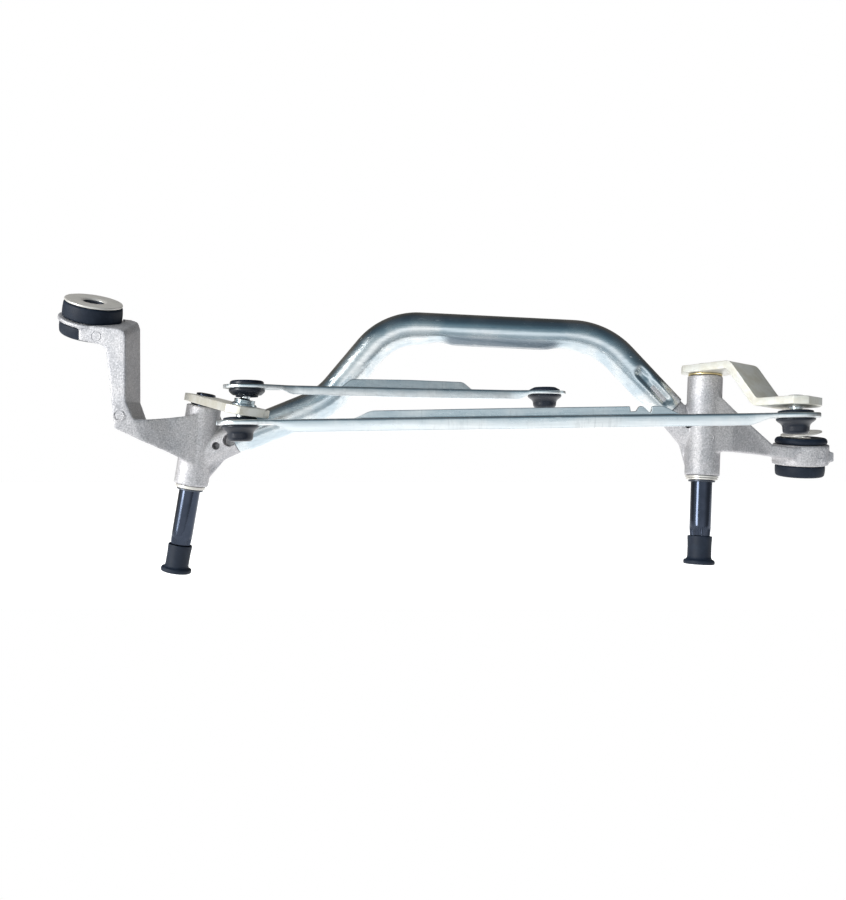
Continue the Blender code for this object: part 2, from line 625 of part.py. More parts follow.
def main():
    clear_scene()
    left_pivot = axis_empty("left_pivot", LEFT_PIVOT, LEFT_AXIS, level(LEFT_HEADING))
    right_pivot = axis_empty("right_pivot", RIGHT_PIVOT, RIGHT_AXIS, level(RIGHT_HEADING))
    left_mount = axis_empty("left_mount", LEFT_MOUNT, LEFT_MOUNT_AXIS)
    right_mount = axis_empty("right_mount", RIGHT_MOUNT, RIGHT_MOUNT_AXIS)
    bpy.context.view_layer.update()

    def seen_from(pivot, u, s):
        return pivot.matrix_world @ Vector((u * MM, 0, s * MM)) / MM

    lower_ball = seen_from(left_pivot, CRANK_RADIUS, LEFT_LOWER_BALL)
    upper_ball = seen_from(left_pivot, CRANK_RADIUS, LEFT_UPPER_BALL)
    right_ball = seen_from(right_pivot, CRANK_RADIUS, RIGHT_BALL - RIGHT_CRANK_DROP)
    reach = right_ball - lower_ball
    up = Vector((0, 0, 1))
    square = up - reach * (up.dot(reach) / reach.length_squared)
    long_link = axis_empty("long_link", lower_ball, square, reach)
    across = level(SHORT_LINK_HEADING)
    short_link = axis_empty("short_link", upper_ball, up, across)
    boot = axis_empty("short_link_boot", upper_ball, up, across)

    frame_tube()
    left_pivot_housing(left_pivot, left_mount)
    right_pivot_housing(right_pivot, right_mount)
    bushes("left", left_pivot, LEFT_HOUSING_END)
    bushes("right", right_pivot, RIGHT_HOUSING_END)
    left_mount_parts(left_mount)
    right_mount_parts(right_mount)
    left_crank_parts(left_pivot)
    right_crank_parts(right_pivot)
    long_link_parts(long_link, reach.length)
    short_link_parts(short_link, boot)


main()
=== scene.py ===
"""Looks of a windscreen wiper linkage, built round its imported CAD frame.

Every piece is a surface worked out with numpy in millimetres, in the frame of the joint or mount that it
belongs to, and placed in metres. Turned pieces are a filleted outline carried round an axis, the tube, the
arms and the links are sections carried along a line, and the castings are several such shells melted into
one.
"""

from __future__ import annotations

import json
import logging
import math
from dataclasses import dataclass, field
from enum import Enum
from typing import Callable, Sequence

import bmesh
import bpy
import numpy as np
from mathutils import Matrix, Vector

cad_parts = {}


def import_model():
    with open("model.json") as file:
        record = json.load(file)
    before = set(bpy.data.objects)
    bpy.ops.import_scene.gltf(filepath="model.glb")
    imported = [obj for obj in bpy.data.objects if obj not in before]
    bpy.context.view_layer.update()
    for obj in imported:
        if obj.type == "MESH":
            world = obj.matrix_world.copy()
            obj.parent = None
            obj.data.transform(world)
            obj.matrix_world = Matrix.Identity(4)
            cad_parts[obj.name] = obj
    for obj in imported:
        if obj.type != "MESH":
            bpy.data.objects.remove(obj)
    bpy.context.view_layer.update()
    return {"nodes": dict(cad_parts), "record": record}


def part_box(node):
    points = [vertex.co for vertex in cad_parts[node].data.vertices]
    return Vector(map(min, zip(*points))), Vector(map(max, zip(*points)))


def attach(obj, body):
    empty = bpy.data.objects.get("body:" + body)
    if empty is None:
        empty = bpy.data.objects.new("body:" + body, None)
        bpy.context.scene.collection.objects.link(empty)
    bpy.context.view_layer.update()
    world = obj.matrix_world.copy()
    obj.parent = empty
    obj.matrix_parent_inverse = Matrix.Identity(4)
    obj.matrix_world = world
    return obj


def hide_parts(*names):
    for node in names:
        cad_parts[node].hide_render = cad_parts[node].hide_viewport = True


LOG = logging.getLogger("wiper_linkage")
MM = 0.001
CRANK_RADIUS = 70.0
RIGHT_CRANK_DROP = 26.0
RIGHT_BALL = -10.2  # below the right arm's lower flat
LEFT_HOUSING_END, RIGHT_HOUSING_END = -58.5, -71.5
Point = tuple[float, float]


class Body(Enum):
    """The CAD bodies that pieces ride on."""

    FRAME = "frame"
    LEFT_CRANK = "left_crank"
    RIGHT_CRANK = "right_crank"
    LONG_LINK = "long_link"
    SHORT_LINK = "short_link"
    BOOT = "short_link_boot"


# ------------------------------------------------------------------ places


@dataclass(frozen=True)
class Place:
    """A right-handed frame in millimetres: where a piece's own coordinates sit."""

    origin: np.ndarray
    x: np.ndarray
    y: np.ndarray
    z: np.ndarray

    @classmethod
    def along(
        cls, origin: Sequence[float], axis: Sequence[float], heading: Sequence[float] = (1, 0, 0)
    ) -> Place:
        """A frame whose z lies along axis and whose x is heading, turned square to it.

        Args:
            origin: the frame's origin in millimetres.
            axis: the direction of z.
            heading: the direction that x keeps closest to.

        Returns:
            The frame.
        """
        z = unit(axis)
        x = np.asarray(heading, float)
        x = unit(x - z * (x @ z))
        return cls(np.asarray(origin, float), x, np.cross(z, x), z)

    def put(self, points: np.ndarray) -> np.ndarray:
        """Points of the frame, in world millimetres."""
        return self.origin + points @ np.stack([self.x, self.y, self.z])

    def moved(self, x: float = 0.0, y: float = 0.0, z: float = 0.0) -> Place:
        """The same frame with its origin shifted along its own axes."""
        return Place(self.origin + x * self.x + y * self.y + z * self.z, self.x, self.y, self.z)


def unit(vector: Sequence[float]) -> np.ndarray:
    """The vector at length one."""
    vector = np.asarray(vector, float)
    return vector / np.linalg.norm(vector)


WORLD = Place.along((0, 0, 0), (0, 0, 1))


@dataclass(frozen=True)
class Layout:
    """Where the joints and mounts lie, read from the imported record."""

    record: dict

    def joint(self, name: str) -> tuple[np.ndarray, np.ndarray]:
        """A joint's point in millimetres and its axis."""
        found = next(j for j in self.record["behaviour"]["joints"] if j["name"] == name)
        return np.array(found["pos_m"]) / MM, np.array(found["axis"])

    def mount(self, name: str, radius: float, depth: float) -> Place:
        """The frame of a round mount, from a point on its face.

        Args:
            name: the mount's name.
            radius: how far out from the axis the stated point lies.
            depth: how far the face lies from the mount's middle, along the upward axis.

        Returns:
            The frame at the mount's middle, z pointing up.
        """
        found = next(m for m in self.record["mounts"] if m["name"] == name)
        axis = np.array(found["axis"])
        axis = axis * np.sign(axis[2])
        face = Place.along(np.array(found["pos_m"]) / MM, axis)
        return face.moved(x=-radius, z=-depth)

    def pivot(self, name: str, ball: np.ndarray) -> Place:
        """A crank's frame: z up its spindle, x along the arm towards a ball."""
        origin, axis = self.joint(name)
        return Place.along(origin, axis, ball - origin)


# ------------------------------------------------------------------ outlines


def filleted(
    corners: Sequence[Sequence[float]], radius: float = 0.4, steps: int = 4, closed: bool = False
) -> np.ndarray:
    """Rounds an outline's corners with arcs.

    At a corner with directions a (in) and b (out), the arc is the quadratic curve from c - t a to c + t b
    with the corner c as its control point, where t is the corner's own radius or the given one, capped at
    0.45 of the shorter side.

    Args:
        corners: points (p, q) or (p, q, radius).
        radius: the fillet where a corner names none.
        steps: points in each arc.
        closed: whether the last corner joins the first.

    Returns:
        The rounded outline as an (n, 2) array.
    """
    flat = np.array([c[:2] for c in corners], float)
    radii = [c[2] if len(c) > 2 else radius for c in corners]
    out: list[np.ndarray] = []
    count = len(flat)
    s = np.linspace(0, 1, steps)[:, None]
    for i in range(count):
        if (not closed and i in (0, count - 1)) or radii[i] <= 0:
            out.append(flat[i : i + 1])
            continue
        before, after = flat[i - 1] - flat[i], flat[(i + 1) % count] - flat[i]
        lengths = np.linalg.norm(before), np.linalg.norm(after)
        cut = min(radii[i], 0.45 * lengths[0], 0.45 * lengths[1])
        start, end = flat[i] + before / lengths[0] * cut, flat[i] + after / lengths[1] * cut
        out.append((1 - s) ** 2 * start + 2 * s * (1 - s) * flat[i] + s**2 * end)
    return np.vstack(out)


def arc(centre: Point, radius: float, start: float, end: float, steps: int = 14) -> list[Point]:
    """Points centre + radius (cos a, sin a), angle a in degrees from start to end, as unrounded corners."""
    a = np.radians(np.linspace(start, end, steps))
    return [(centre[0] + radius * c, centre[1] + radius * s, 0.0) for c, s in zip(np.cos(a), np.sin(a))]


def smooth(x: np.ndarray, low: float, high: float) -> np.ndarray:
    """Smoothstep 3t^2 - 2t^3 of x, from 0 at low to 1 at high."""
    t = np.clip((x - low) / (high - low), 0, 1)
    return t * t * (3 - 2 * t)


def plateau(x: np.ndarray, width: float) -> np.ndarray:
    """A flat-topped bell exp(-(x / width)^4)."""
    return np.exp(-((x / width) ** 4))


def bump(x: np.ndarray, centre: float, width: float) -> np.ndarray:
    """A bell curve exp(-((x - centre) / width)^2)."""
    return np.exp(-(((x - centre) / width) ** 2))


def path_through(corners: Sequence[Sequence[float]], spacing: float) -> tuple[np.ndarray, np.ndarray]:
    """A line with circular bends, in a plane.

    Args:
        corners: points (p, q, bend radius); the two ends' radii are unused.
        spacing: the longest step along the line.

    Returns:
        Points (n, 2) and the direction angle at each.
    """
    flat = np.array([c[:2] for c in corners], float)
    heading = np.arctan2(np.diff(flat[:, 1]), np.diff(flat[:, 0]))
    nodes, angles = [flat[:1]], [heading[:1]]
    for i in range(1, len(flat) - 1):
        turn, radius = heading[i] - heading[i - 1], corners[i][2]
        tangent, side = radius * abs(math.tan(turn / 2)), math.copysign(1, turn)
        along = np.array([math.cos(heading[i - 1]), math.sin(heading[i - 1])])
        centre = flat[i] - tangent * along + side * radius * np.array([-along[1], along[0]])
        swept = np.linspace(heading[i - 1], heading[i], max(3, int(radius * abs(turn) / spacing) + 2))
        nodes.append(centre + side * radius * np.stack([np.sin(swept), -np.cos(swept)], 1))
        angles.append(swept)
    nodes.append(flat[-1:])
    angles.append(heading[-1:])
    points, turns = np.vstack(nodes), np.concatenate(angles)
    length = np.concatenate([[0], np.cumsum(np.linalg.norm(np.diff(points, axis=0), axis=1))])
    even = np.union1d(length, np.linspace(0, length[-1], int(length[-1] / spacing)))
    even = even[np.concatenate([[True], np.diff(even) > 1e-4])]
    line = np.stack([np.interp(even, length, points[:, k]) for k in (0, 1)], 1)
    return line, np.interp(even, length, turns)


# ------------------------------------------------------------------ meshes


def grid_faces(rows: int, cols: int, wrap: bool) -> np.ndarray:
    """Quads of a (rows, cols) grid that closes on itself across its columns, and its rows if wrap."""
    r = np.arange(rows if wrap else rows - 1)[:, None]
    c = np.arange(cols)[None, :]
    n, m = (r + 1) % rows, (c + 1) % cols
    return np.stack([r * cols + c, r * cols + m, n * cols + m, n * cols + c], -1).reshape(-1, 4)


def mesh_object(name: str, points: np.ndarray, faces: list, sharp: float = 40.0) -> bpy.types.Object:
    """An object at the origin from points in world millimetres, its faces turned outwards.

    Args:
        name: the piece's name.
        points: (n, 3) points.
        faces: faces as lists of indices.
        sharp: edges that turn by more than this many degrees stay crisp.

    Returns:
        The object.
    """
    mesh = bpy.data.meshes.new(name)
    mesh.from_pydata((points * MM).tolist(), [], faces)
    shell = bmesh.new()
    shell.from_mesh(mesh)
    bmesh.ops.remove_doubles(shell, verts=shell.verts, dist=1e-6)
    bmesh.ops.recalc_face_normals(shell, faces=shell.faces)
    shell.to_mesh(mesh)
    shell.free()
    mesh.shade_smooth()
    mesh.set_sharp_from_angle(angle=math.radians(sharp))
    made = bpy.data.objects.new(name, mesh)
    bpy.context.collection.objects.link(made)
    return made


def turned(
    name: str,
    outline: np.ndarray,
    place: Place,
    sides: int = 96,
    ripple: Callable[[np.ndarray, np.ndarray], np.ndarray] | None = None,
) -> bpy.types.Object:
    """A turned piece: the outline (r, z) carried round z, p = (r cos t, r sin t, z).

    Args:
        name: the piece's name.
        outline: (n, 2) points; one that starts and ends at r = 0 is a plain turned body, any other a ring.
        place: the frame that z belongs to.
        sides: steps round the axis.
        ripple: an offset to add to r, as a function of the angle and z.

    Returns:
        The object.
    """
    solid = abs(outline[0, 0]) < 1e-9 and abs(outline[-1, 0]) < 1e-9
    rows = outline[1:-1] if solid else outline
    t = np.arange(sides) * 2 * np.pi / sides
    r, z, t = np.broadcast_arrays(rows[:, :1], rows[:, 1:], t)
    if ripple:
        r = r + ripple(t, z)
    points = np.stack([r * np.cos(t), r * np.sin(t), z], -1).reshape(-1, 3)
    faces = grid_faces(len(rows), sides, wrap=not solid).tolist()
    if solid:
        faces += [list(range(sides)), list(range(points.shape[0] - sides, points.shape[0]))]
    return mesh_object(name, place.put(points), faces)


def carried(
    name: str, rings: np.ndarray, place: Place, wrap: bool = False, sharp: float = 40.0
) -> bpy.types.Object:
    """Sections carried along a line: rings is (stations, points, 3), closed at both ends unless wrap."""
    rows, cols = rings.shape[:2]
    faces = grid_faces(rows, cols, wrap).tolist()
    if not wrap:
        faces += [list(range(cols)), list(range((rows - 1) * cols, rows * cols))]
    return mesh_object(name, place.put(rings.reshape(-1, 3)), faces, sharp)


def applied(piece: bpy.types.Object) -> bpy.types.Object:
    """Turns the piece's modifiers into its mesh."""
    bpy.context.view_layer.update()
    seen = piece.evaluated_get(bpy.context.evaluated_depsgraph_get())
    mesh = bpy.data.meshes.new_from_object(seen)
    piece.modifiers.clear()
    piece.data = mesh
    return piece


def joined(name: str, shells: Sequence[bpy.types.Object]) -> bpy.types.Object:
    """One object that holds every shell's mesh; the shells are removed."""
    both = bmesh.new()
    for shell in shells:
        both.from_mesh(shell.data)
        bpy.data.objects.remove(shell, do_unlink=True)
    mesh = bpy.data.meshes.new(name)
    both.to_mesh(mesh)
    both.free()
    made = bpy.data.objects.new(name, mesh)
    bpy.context.collection.objects.link(made)
    return made


def cut(piece: bpy.types.Object, cutters: Sequence[bpy.types.Object]) -> None:
    """Cuts the joined cutters out of the piece with one Boolean, and removes them."""
    tool = joined(piece.name + "_tool", cutters)
    step = piece.modifiers.new("cut", "BOOLEAN")
    step.operation, step.object, step.solver = "DIFFERENCE", tool, "EXACT"
    step.use_self = True
    applied(piece)
    bpy.data.objects.remove(tool, do_unlink=True)


# ------------------------------------------------------------------ shader graph


class Wire:
    """A node socket that takes part in Python arithmetic; each operator adds a Math node."""

    def __init__(self, graph: Graph, socket: bpy.types.NodeSocket) -> None:
        """Keeps the socket and the graph that it belongs to."""
        self.graph, self.socket = graph, socket

    def __add__(self, other: Value) -> Wire:
        """self + other"""
        return self.graph.maths("ADD", self, other)

    __radd__ = __add__

    def __sub__(self, other: Value) -> Wire:
        """self - other"""
        return self.graph.maths("SUBTRACT", self, other)

    def __rsub__(self, other: Value) -> Wire:
        """other - self"""
        return self.graph.maths("SUBTRACT", other, self)

    def __mul__(self, other: Value) -> Wire:
        """self * other"""
        return self.graph.maths("MULTIPLY", self, other)

    __rmul__ = __mul__

    def between(self, low: float, high: float) -> Wire:
        """0 below low, 1 above high, smooth in between."""
        made = self.graph.node(
            "ShaderNodeMapRange",
            {"interpolation_type": "SMOOTHSTEP", "clamp": True},
            {"Value": self, "From Min": low, "From Max": high},
        )
        return Wire(self.graph, made.outputs["Result"])


Value = Wire | float


class Graph:
    """A node tree, with one method that makes any node."""

    def __init__(self, tree: bpy.types.NodeTree) -> None:
        """Keeps the tree."""
        self.tree = tree

    def node(self, kind: str, settings: dict | None = None, inputs: dict | None = None) -> bpy.types.Node:
        """Makes a node.

        Args:
            kind: the node's Blender type.
            settings: properties, and under "stops" a ramp's (position, colour) pairs; set before the inputs.
            inputs: values or wires by socket name or index.

        Returns:
            The node.
        """
        made = self.tree.nodes.new(kind)
        settings = dict(settings or {})
        stops = settings.pop("stops", None)
        for key, value in settings.items():
            setattr(made, key, value)
        if stops:
            ramp = made.color_ramp
            while len(ramp.elements) < len(stops):
                ramp.elements.new(0.5)
            for element, (position, colour) in zip(ramp.elements, stops):
                element.position, element.color = position, (*colour, 1.0)
        for key, value in (inputs or {}).items():
            self.feed(made.inputs[key], value)
        return made

    def feed(self, socket: bpy.types.NodeSocket, value: object) -> None:
        """Links a wire into the socket, or sets its value."""
        if isinstance(value, Wire):
            self.tree.links.new(value.socket, socket)
        else:
            socket.default_value = value

    def maths(self, operation: str, a: Value, b: Value = 0.0) -> Wire:
        """One Math node."""
        made = self.node("ShaderNodeMath", {"operation": operation}, {0: a, 1: b})
        return Wire(self, made.outputs[0])

    def mix(self, factor: Value, a: Sequence[float] | Wire, b: Sequence[float] | Wire) -> Wire:
        """Colour a blended to colour b by factor."""
        made = self.node("ShaderNodeMix", {"data_type": "RGBA"}, {"Factor": factor})
        for index, colour in ((6, a), (7, b)):
            self.feed(made.inputs[index], colour if isinstance(colour, Wire) else (*colour, 1.0))
        return Wire(self, made.outputs[2])

    def axes(self, coordinates: str) -> list[Wire]:
        """x, y and z of one of the Texture Coordinate node's outputs."""
        point = Wire(self, self.node("ShaderNodeTexCoord").outputs[coordinates])
        parts = self.node("ShaderNodeSeparateXYZ", None, {0: point})
        return [Wire(self, output) for output in parts.outputs]


class Finish(Graph):
    """A material's node tree round its Principled shader, with patterns on Object coordinates."""

    def __init__(self, name: str) -> None:
        """Starts a material."""
        self.material = bpy.data.materials.new(name)
        self.material.use_nodes = True
        super().__init__(self.material.node_tree)
        self.shader = self.tree.nodes["Principled BSDF"]
        self.place = Wire(self, self.node("ShaderNodeTexCoord").outputs["Object"])

    def stretched(self, scale: Sequence[float], turn: Sequence[float] = (0, 0, 0)) -> Wire:
        """Object coordinates turned (in radians) and scaled, per metre."""
        inputs = {"Vector": self.place, "Scale": scale, "Rotation": turn}
        return Wire(self, self.node("ShaderNodeMapping", None, inputs).outputs["Vector"])

    def noise(
        self, scale: float, detail: float = 4.0, rough: float = 0.55, where: Wire | None = None
    ) -> Wire:
        """Noise between 0 and 1, scale in cells per metre."""
        inputs = {"Vector": where or self.place, "Scale": scale, "Detail": detail, "Roughness": rough}
        return Wire(self, self.node("ShaderNodeTexNoise", None, inputs).outputs[0])

    def relief(self, height: Wire, distance: float, strength: float = 1.0) -> None:
        """Feeds a height in metres per unit through a Bump node to the shader's normal."""
        inputs = {"Height": height, "Distance": distance, "Strength": strength}
        bump_node = self.node("ShaderNodeBump", None, inputs)
        self.feed(self.shader.inputs["Normal"], Wire(self, bump_node.outputs["Normal"]))

    def surface(
        self, colour: Wire, roughness: Value, metallic: Value, **fixed: object
    ) -> bpy.types.Material:
        """Feeds the shader and returns the material; fixed holds the other sockets' plain values."""
        self.feed(self.shader.inputs["Base Color"], colour)
        self.feed(self.shader.inputs["Roughness"], roughness)
        self.feed(self.shader.inputs["Metallic"], metallic)
        for key, value in fixed.items():
            self.shader.inputs[key.replace("_", " ")].default_value = value
        return self.material


# ------------------------------------------------------------------ finishes

Colour = tuple[float, float, float]


@dataclass(frozen=True)
class ZincPlate:
    """Bright zinc over steel: cool and warm clouds, long draw marks, pale scuffs and fine dents."""

    name: str
    slot: str
    cool: Colour
    warm: Colour
    rough: float
    grain: tuple[float, float, float] = (18.0, 420.0, 420.0)
    scuff: float = 0.5
    ticks: float = 0.0
    # seat puts painted shade (dark blue-grey, less metallic) on the flat under the arch, and fine lines there
    seat: bool = False

    @staticmethod
    def painted_seat_shade(g: Finish) -> Wire:
        """Painted shade on the flat under the arch, dark blue-grey: 1 inside it, fading over a few
        millimetres.
        """
        x, _, z = g.axes("Object")
        low = (z + x * 0.0492).between(0.0345, 0.0310)
        return low * x.between(-0.011, -0.003) * x.between(0.073, 0.065) * 0.9

    def material(self) -> bpy.types.Material:
        """Builds the finish."""
        g = Finish(self.name)
        clouds = g.noise(38.0, 3.0).between(0.38, 0.66)
        streaks = g.noise(1.0, 3.0, 0.6, g.stretched(self.grain))
        specks = g.noise(520.0, 2.0, 0.6).between(0.62, 0.74)
        skewed = g.stretched((55.0, 900.0, 260.0), (0.4, 0.7, 0.2))
        scratches = g.noise(1.0, 2.0, 0.5, skewed).between(0.66, 0.72)
        patches = g.noise(85.0, 2.0).between(0.5, 0.62)
        marks = scratches * patches * self.scuff
        base = g.mix(clouds, self.cool, self.warm)
        base = g.mix(streaks.between(0.35, 0.75) * 0.35, base, tuple(0.72 * c for c in self.cool))
        ticks = g.noise(1.0, 3.0, 0.6, g.stretched((520.0, 90.0, 120.0))).between(0.48, 0.66) * clouds
        base = g.mix(ticks * self.ticks, base, tuple(0.55 * c for c in self.cool))
        metal = 1.0
        if self.seat:
            # Painted shade: the flat under the arch is coloured dark blue-grey and made less metallic.
            shade = self.painted_seat_shade(g)
            base = g.mix(shade, base, (0.12, 0.16, 0.20))
            metal = 1.0 - shade
            lines = g.noise(1.0, 2.0, 0.6, g.stretched((9.0, 1500.0, 1500.0))).between(0.6, 0.72)
            base = g.mix(lines * 0.45, base, tuple(0.6 * c for c in self.cool))
        base = g.mix(marks + specks * 0.22 * patches, base, (0.92, 0.94, 0.94))
        rough = streaks * 0.16 + clouds * 0.07 + marks * 0.25 + (self.rough - 0.1)
        g.relief(streaks * 0.5 + marks * 0.6 + g.noise(160.0, 3.0) * 0.9, 0.00018, 0.55)
        return g.surface(base, rough, metal)


@dataclass(frozen=True)
class CastMetal:
    """Die-cast aluminium: fine peened grain, dark pores, pale rubbed patches."""

    name: str
    slot: str
    base: Colour
    dark: Colour
    rough: float = 0.52

    def material(self) -> bpy.types.Material:
        """Builds the finish."""
        g = Finish(self.name)
        grain = g.noise(1050.0, 3.0, 0.75)
        clouds = g.noise(60.0, 4.0, 0.6)
        pores = g.noise(640.0, 2.0, 0.5).between(0.68, 0.78)
        base = g.mix(clouds.between(0.35, 0.7), self.base, self.dark)
        base = g.mix(grain.between(0.50, 0.66) * 0.65, base, tuple(min(1.0, 1.45 * c) for c in self.base))
        base = g.mix(grain.between(0.50, 0.36) * 0.5, base, tuple(0.5 * c for c in self.dark))
        base = g.mix(pores * 0.55, base, (0.10, 0.10, 0.11))
        g.relief(grain * 0.6 + g.noise(420.0, 3.0) * 0.5 - pores * 0.8, 0.00028, 0.8)
        return g.surface(base, grain * 0.2 + clouds * 0.1 + (self.rough - 0.15), 0.6)


@dataclass(frozen=True)
class StampedPlate:
    """Stamped steel with passivated zinc: beige cast, satin faces, shear marks on the cut edges."""

    name: str
    slot: str
    base: Colour
    tint: Colour
    rough: float = 0.4

    def material(self) -> bpy.types.Material:
        """Builds the finish."""
        g = Finish(self.name)
        clouds = g.noise(90.0, 4.0, 0.6).between(0.35, 0.68)
        shear = g.noise(1.0, 2.0, 0.5, g.stretched((900.0, 900.0, 60.0)))
        grain = g.noise(900.0, 3.0, 0.65)
        base = g.mix(clouds, self.base, self.tint)
        base = g.mix(shear.between(0.5, 0.8) * 0.25, base, tuple(0.7 * c for c in self.base))
        g.relief(shear * 0.6 + grain * 0.35, 0.00014, 0.6)
        return g.surface(base, grain * 0.15 + clouds * 0.08 + (self.rough - 0.1), 0.5)


@dataclass(frozen=True)
class TurnedSteel:
    """Ground or polished steel: faint rings round the axis and a thin film of oil."""

    name: str
    slot: str
    base: Colour
    film: Colour
    rough: float
    rings: float = 900.0
    metallic: float = 1.0

    def material(self) -> bpy.types.Material:
        """Builds the finish."""
        g = Finish(self.name)
        rings = g.noise(1.0, 2.0, 0.5, g.stretched((12.0, 12.0, self.rings)))
        film = g.noise(110.0, 3.0).between(0.4, 0.7)
        base = g.mix(film * 0.6, self.base, self.film)
        g.relief(rings, 0.00005, 0.35)
        return g.surface(base, rings * 0.08 + film * 0.06 + self.rough, self.metallic)


@dataclass(frozen=True)
class Moulding:
    """Rubber or plastic: fine skin, dusty bloom on it, and small scuffs."""

    name: str
    slot: str
    base: Colour
    bloom: Colour
    rough: float
    skin: float = 900.0
    gloss: float = 0.25

    def material(self) -> bpy.types.Material:
        """Builds the finish."""
        g = Finish(self.name)
        skin = g.noise(self.skin, 3.0, 0.6)
        dust = g.noise(140.0, 5.0, 0.65).between(0.42, 0.78)
        specks = g.noise(1300.0, 1.0).between(0.72, 0.8)
        base = g.mix(dust * 0.55, self.base, self.bloom)
        base = g.mix(specks * 0.3, base, tuple(2.2 * c for c in self.bloom))
        g.relief(skin * 0.7 + dust * 0.3, 0.0001, 0.5)
        rough = dust * 0.14 + skin * 0.08 + (self.rough - 0.08)
        return g.surface(base, rough, 0.0, Specular_IOR_Level=self.gloss)


class Look(Enum):
    """Every finish on the linkage."""

    # The tube's finish carries painted shade on the flat under the arch.
    TUBE = ZincPlate(
        "tube_zinc", "zinc_tube", (0.50, 0.58, 0.63), (0.76, 0.78, 0.78), 0.24,
        grain=(11.0, 520.0, 520.0), scuff=1.0, seat=True,
    )
    LINK = ZincPlate(
        "link_zinc", "zinc_link", (0.76, 0.82, 0.85), (0.90, 0.92, 0.92), 0.30, scuff=0.45, ticks=0.28
    )
    CAST = CastMetal("cast_aluminium", "cast_aluminium", (0.50, 0.49, 0.50), (0.40, 0.40, 0.42))
    CRANK = StampedPlate("crank_zinc", "zinc_crank", (0.76, 0.75, 0.70), (0.64, 0.61, 0.52))
    STUD = ZincPlate(
        "stud_zinc", "bright_steel", (0.62, 0.70, 0.74), (0.84, 0.86, 0.86), 0.2, (30.0, 30.0, 900.0)
    )
    SPINDLE = TurnedSteel(
        "spindle_steel", "polished_steel", (0.045, 0.055, 0.078), (0.030, 0.038, 0.055), 0.09
    )
    WASHER = TurnedSteel(
        "washer_steel", "bright_steel", (0.66, 0.64, 0.60), (0.55, 0.53, 0.50), 0.30, metallic=0.45
    )
    BRONZE = TurnedSteel("bush_bronze", "sintered_bronze", (0.52, 0.37, 0.20), (0.40, 0.27, 0.15), 0.42)
    BRASS = TurnedSteel("shim_brass", "brass", (0.72, 0.60, 0.34), (0.60, 0.48, 0.26), 0.34)
    SPRING = TurnedSteel("ring_steel", "dark_spring_steel", (0.09, 0.10, 0.12), (0.05, 0.06, 0.08), 0.38)
    RUBBER = Moulding("rubber", "black_rubber", (0.006, 0.011, 0.022), (0.020, 0.030, 0.048), 0.60)
    PLASTIC = Moulding(
        "plastic", "black_plastic", (0.003, 0.006, 0.014), (0.012, 0.020, 0.036), 0.32, 600.0, 0.4
    )


@dataclass
class Workshop:
    """Dresses pieces, ties each to its body and counts them."""

    made: dict[Look, bpy.types.Material] = field(default_factory=dict)
    count: int = 0

    def paint(self, piece: bpy.types.Object, look: Look) -> None:
        """Puts a finish on the piece, building it on first use."""
        if look not in self.made:
            self.made[look] = look.value.material()
        piece.data.materials.clear()
        piece.data.materials.append(self.made[look])

    def fit(self, piece: bpy.types.Object, body: Body, look: Look, *nodes: str) -> bpy.types.Object:
        """Dresses a new piece, ties it to its body and hides the CAD nodes that it stands for."""
        self.paint(piece, look)
        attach(piece, body.value)
        if nodes:
            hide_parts(*nodes)
        self.count += 1
        LOG.info("%s: %d faces on %s", piece.name, len(piece.data.polygons), body.value)
        return piece

    def keep(self, nodes: dict[str, bpy.types.Object], look: Look, *names: str) -> None:
        """Gives CAD nodes that stay in view their finish."""
        for name in names:
            self.paint(nodes[name], look)


# ------------------------------------------------------------------ frame tube


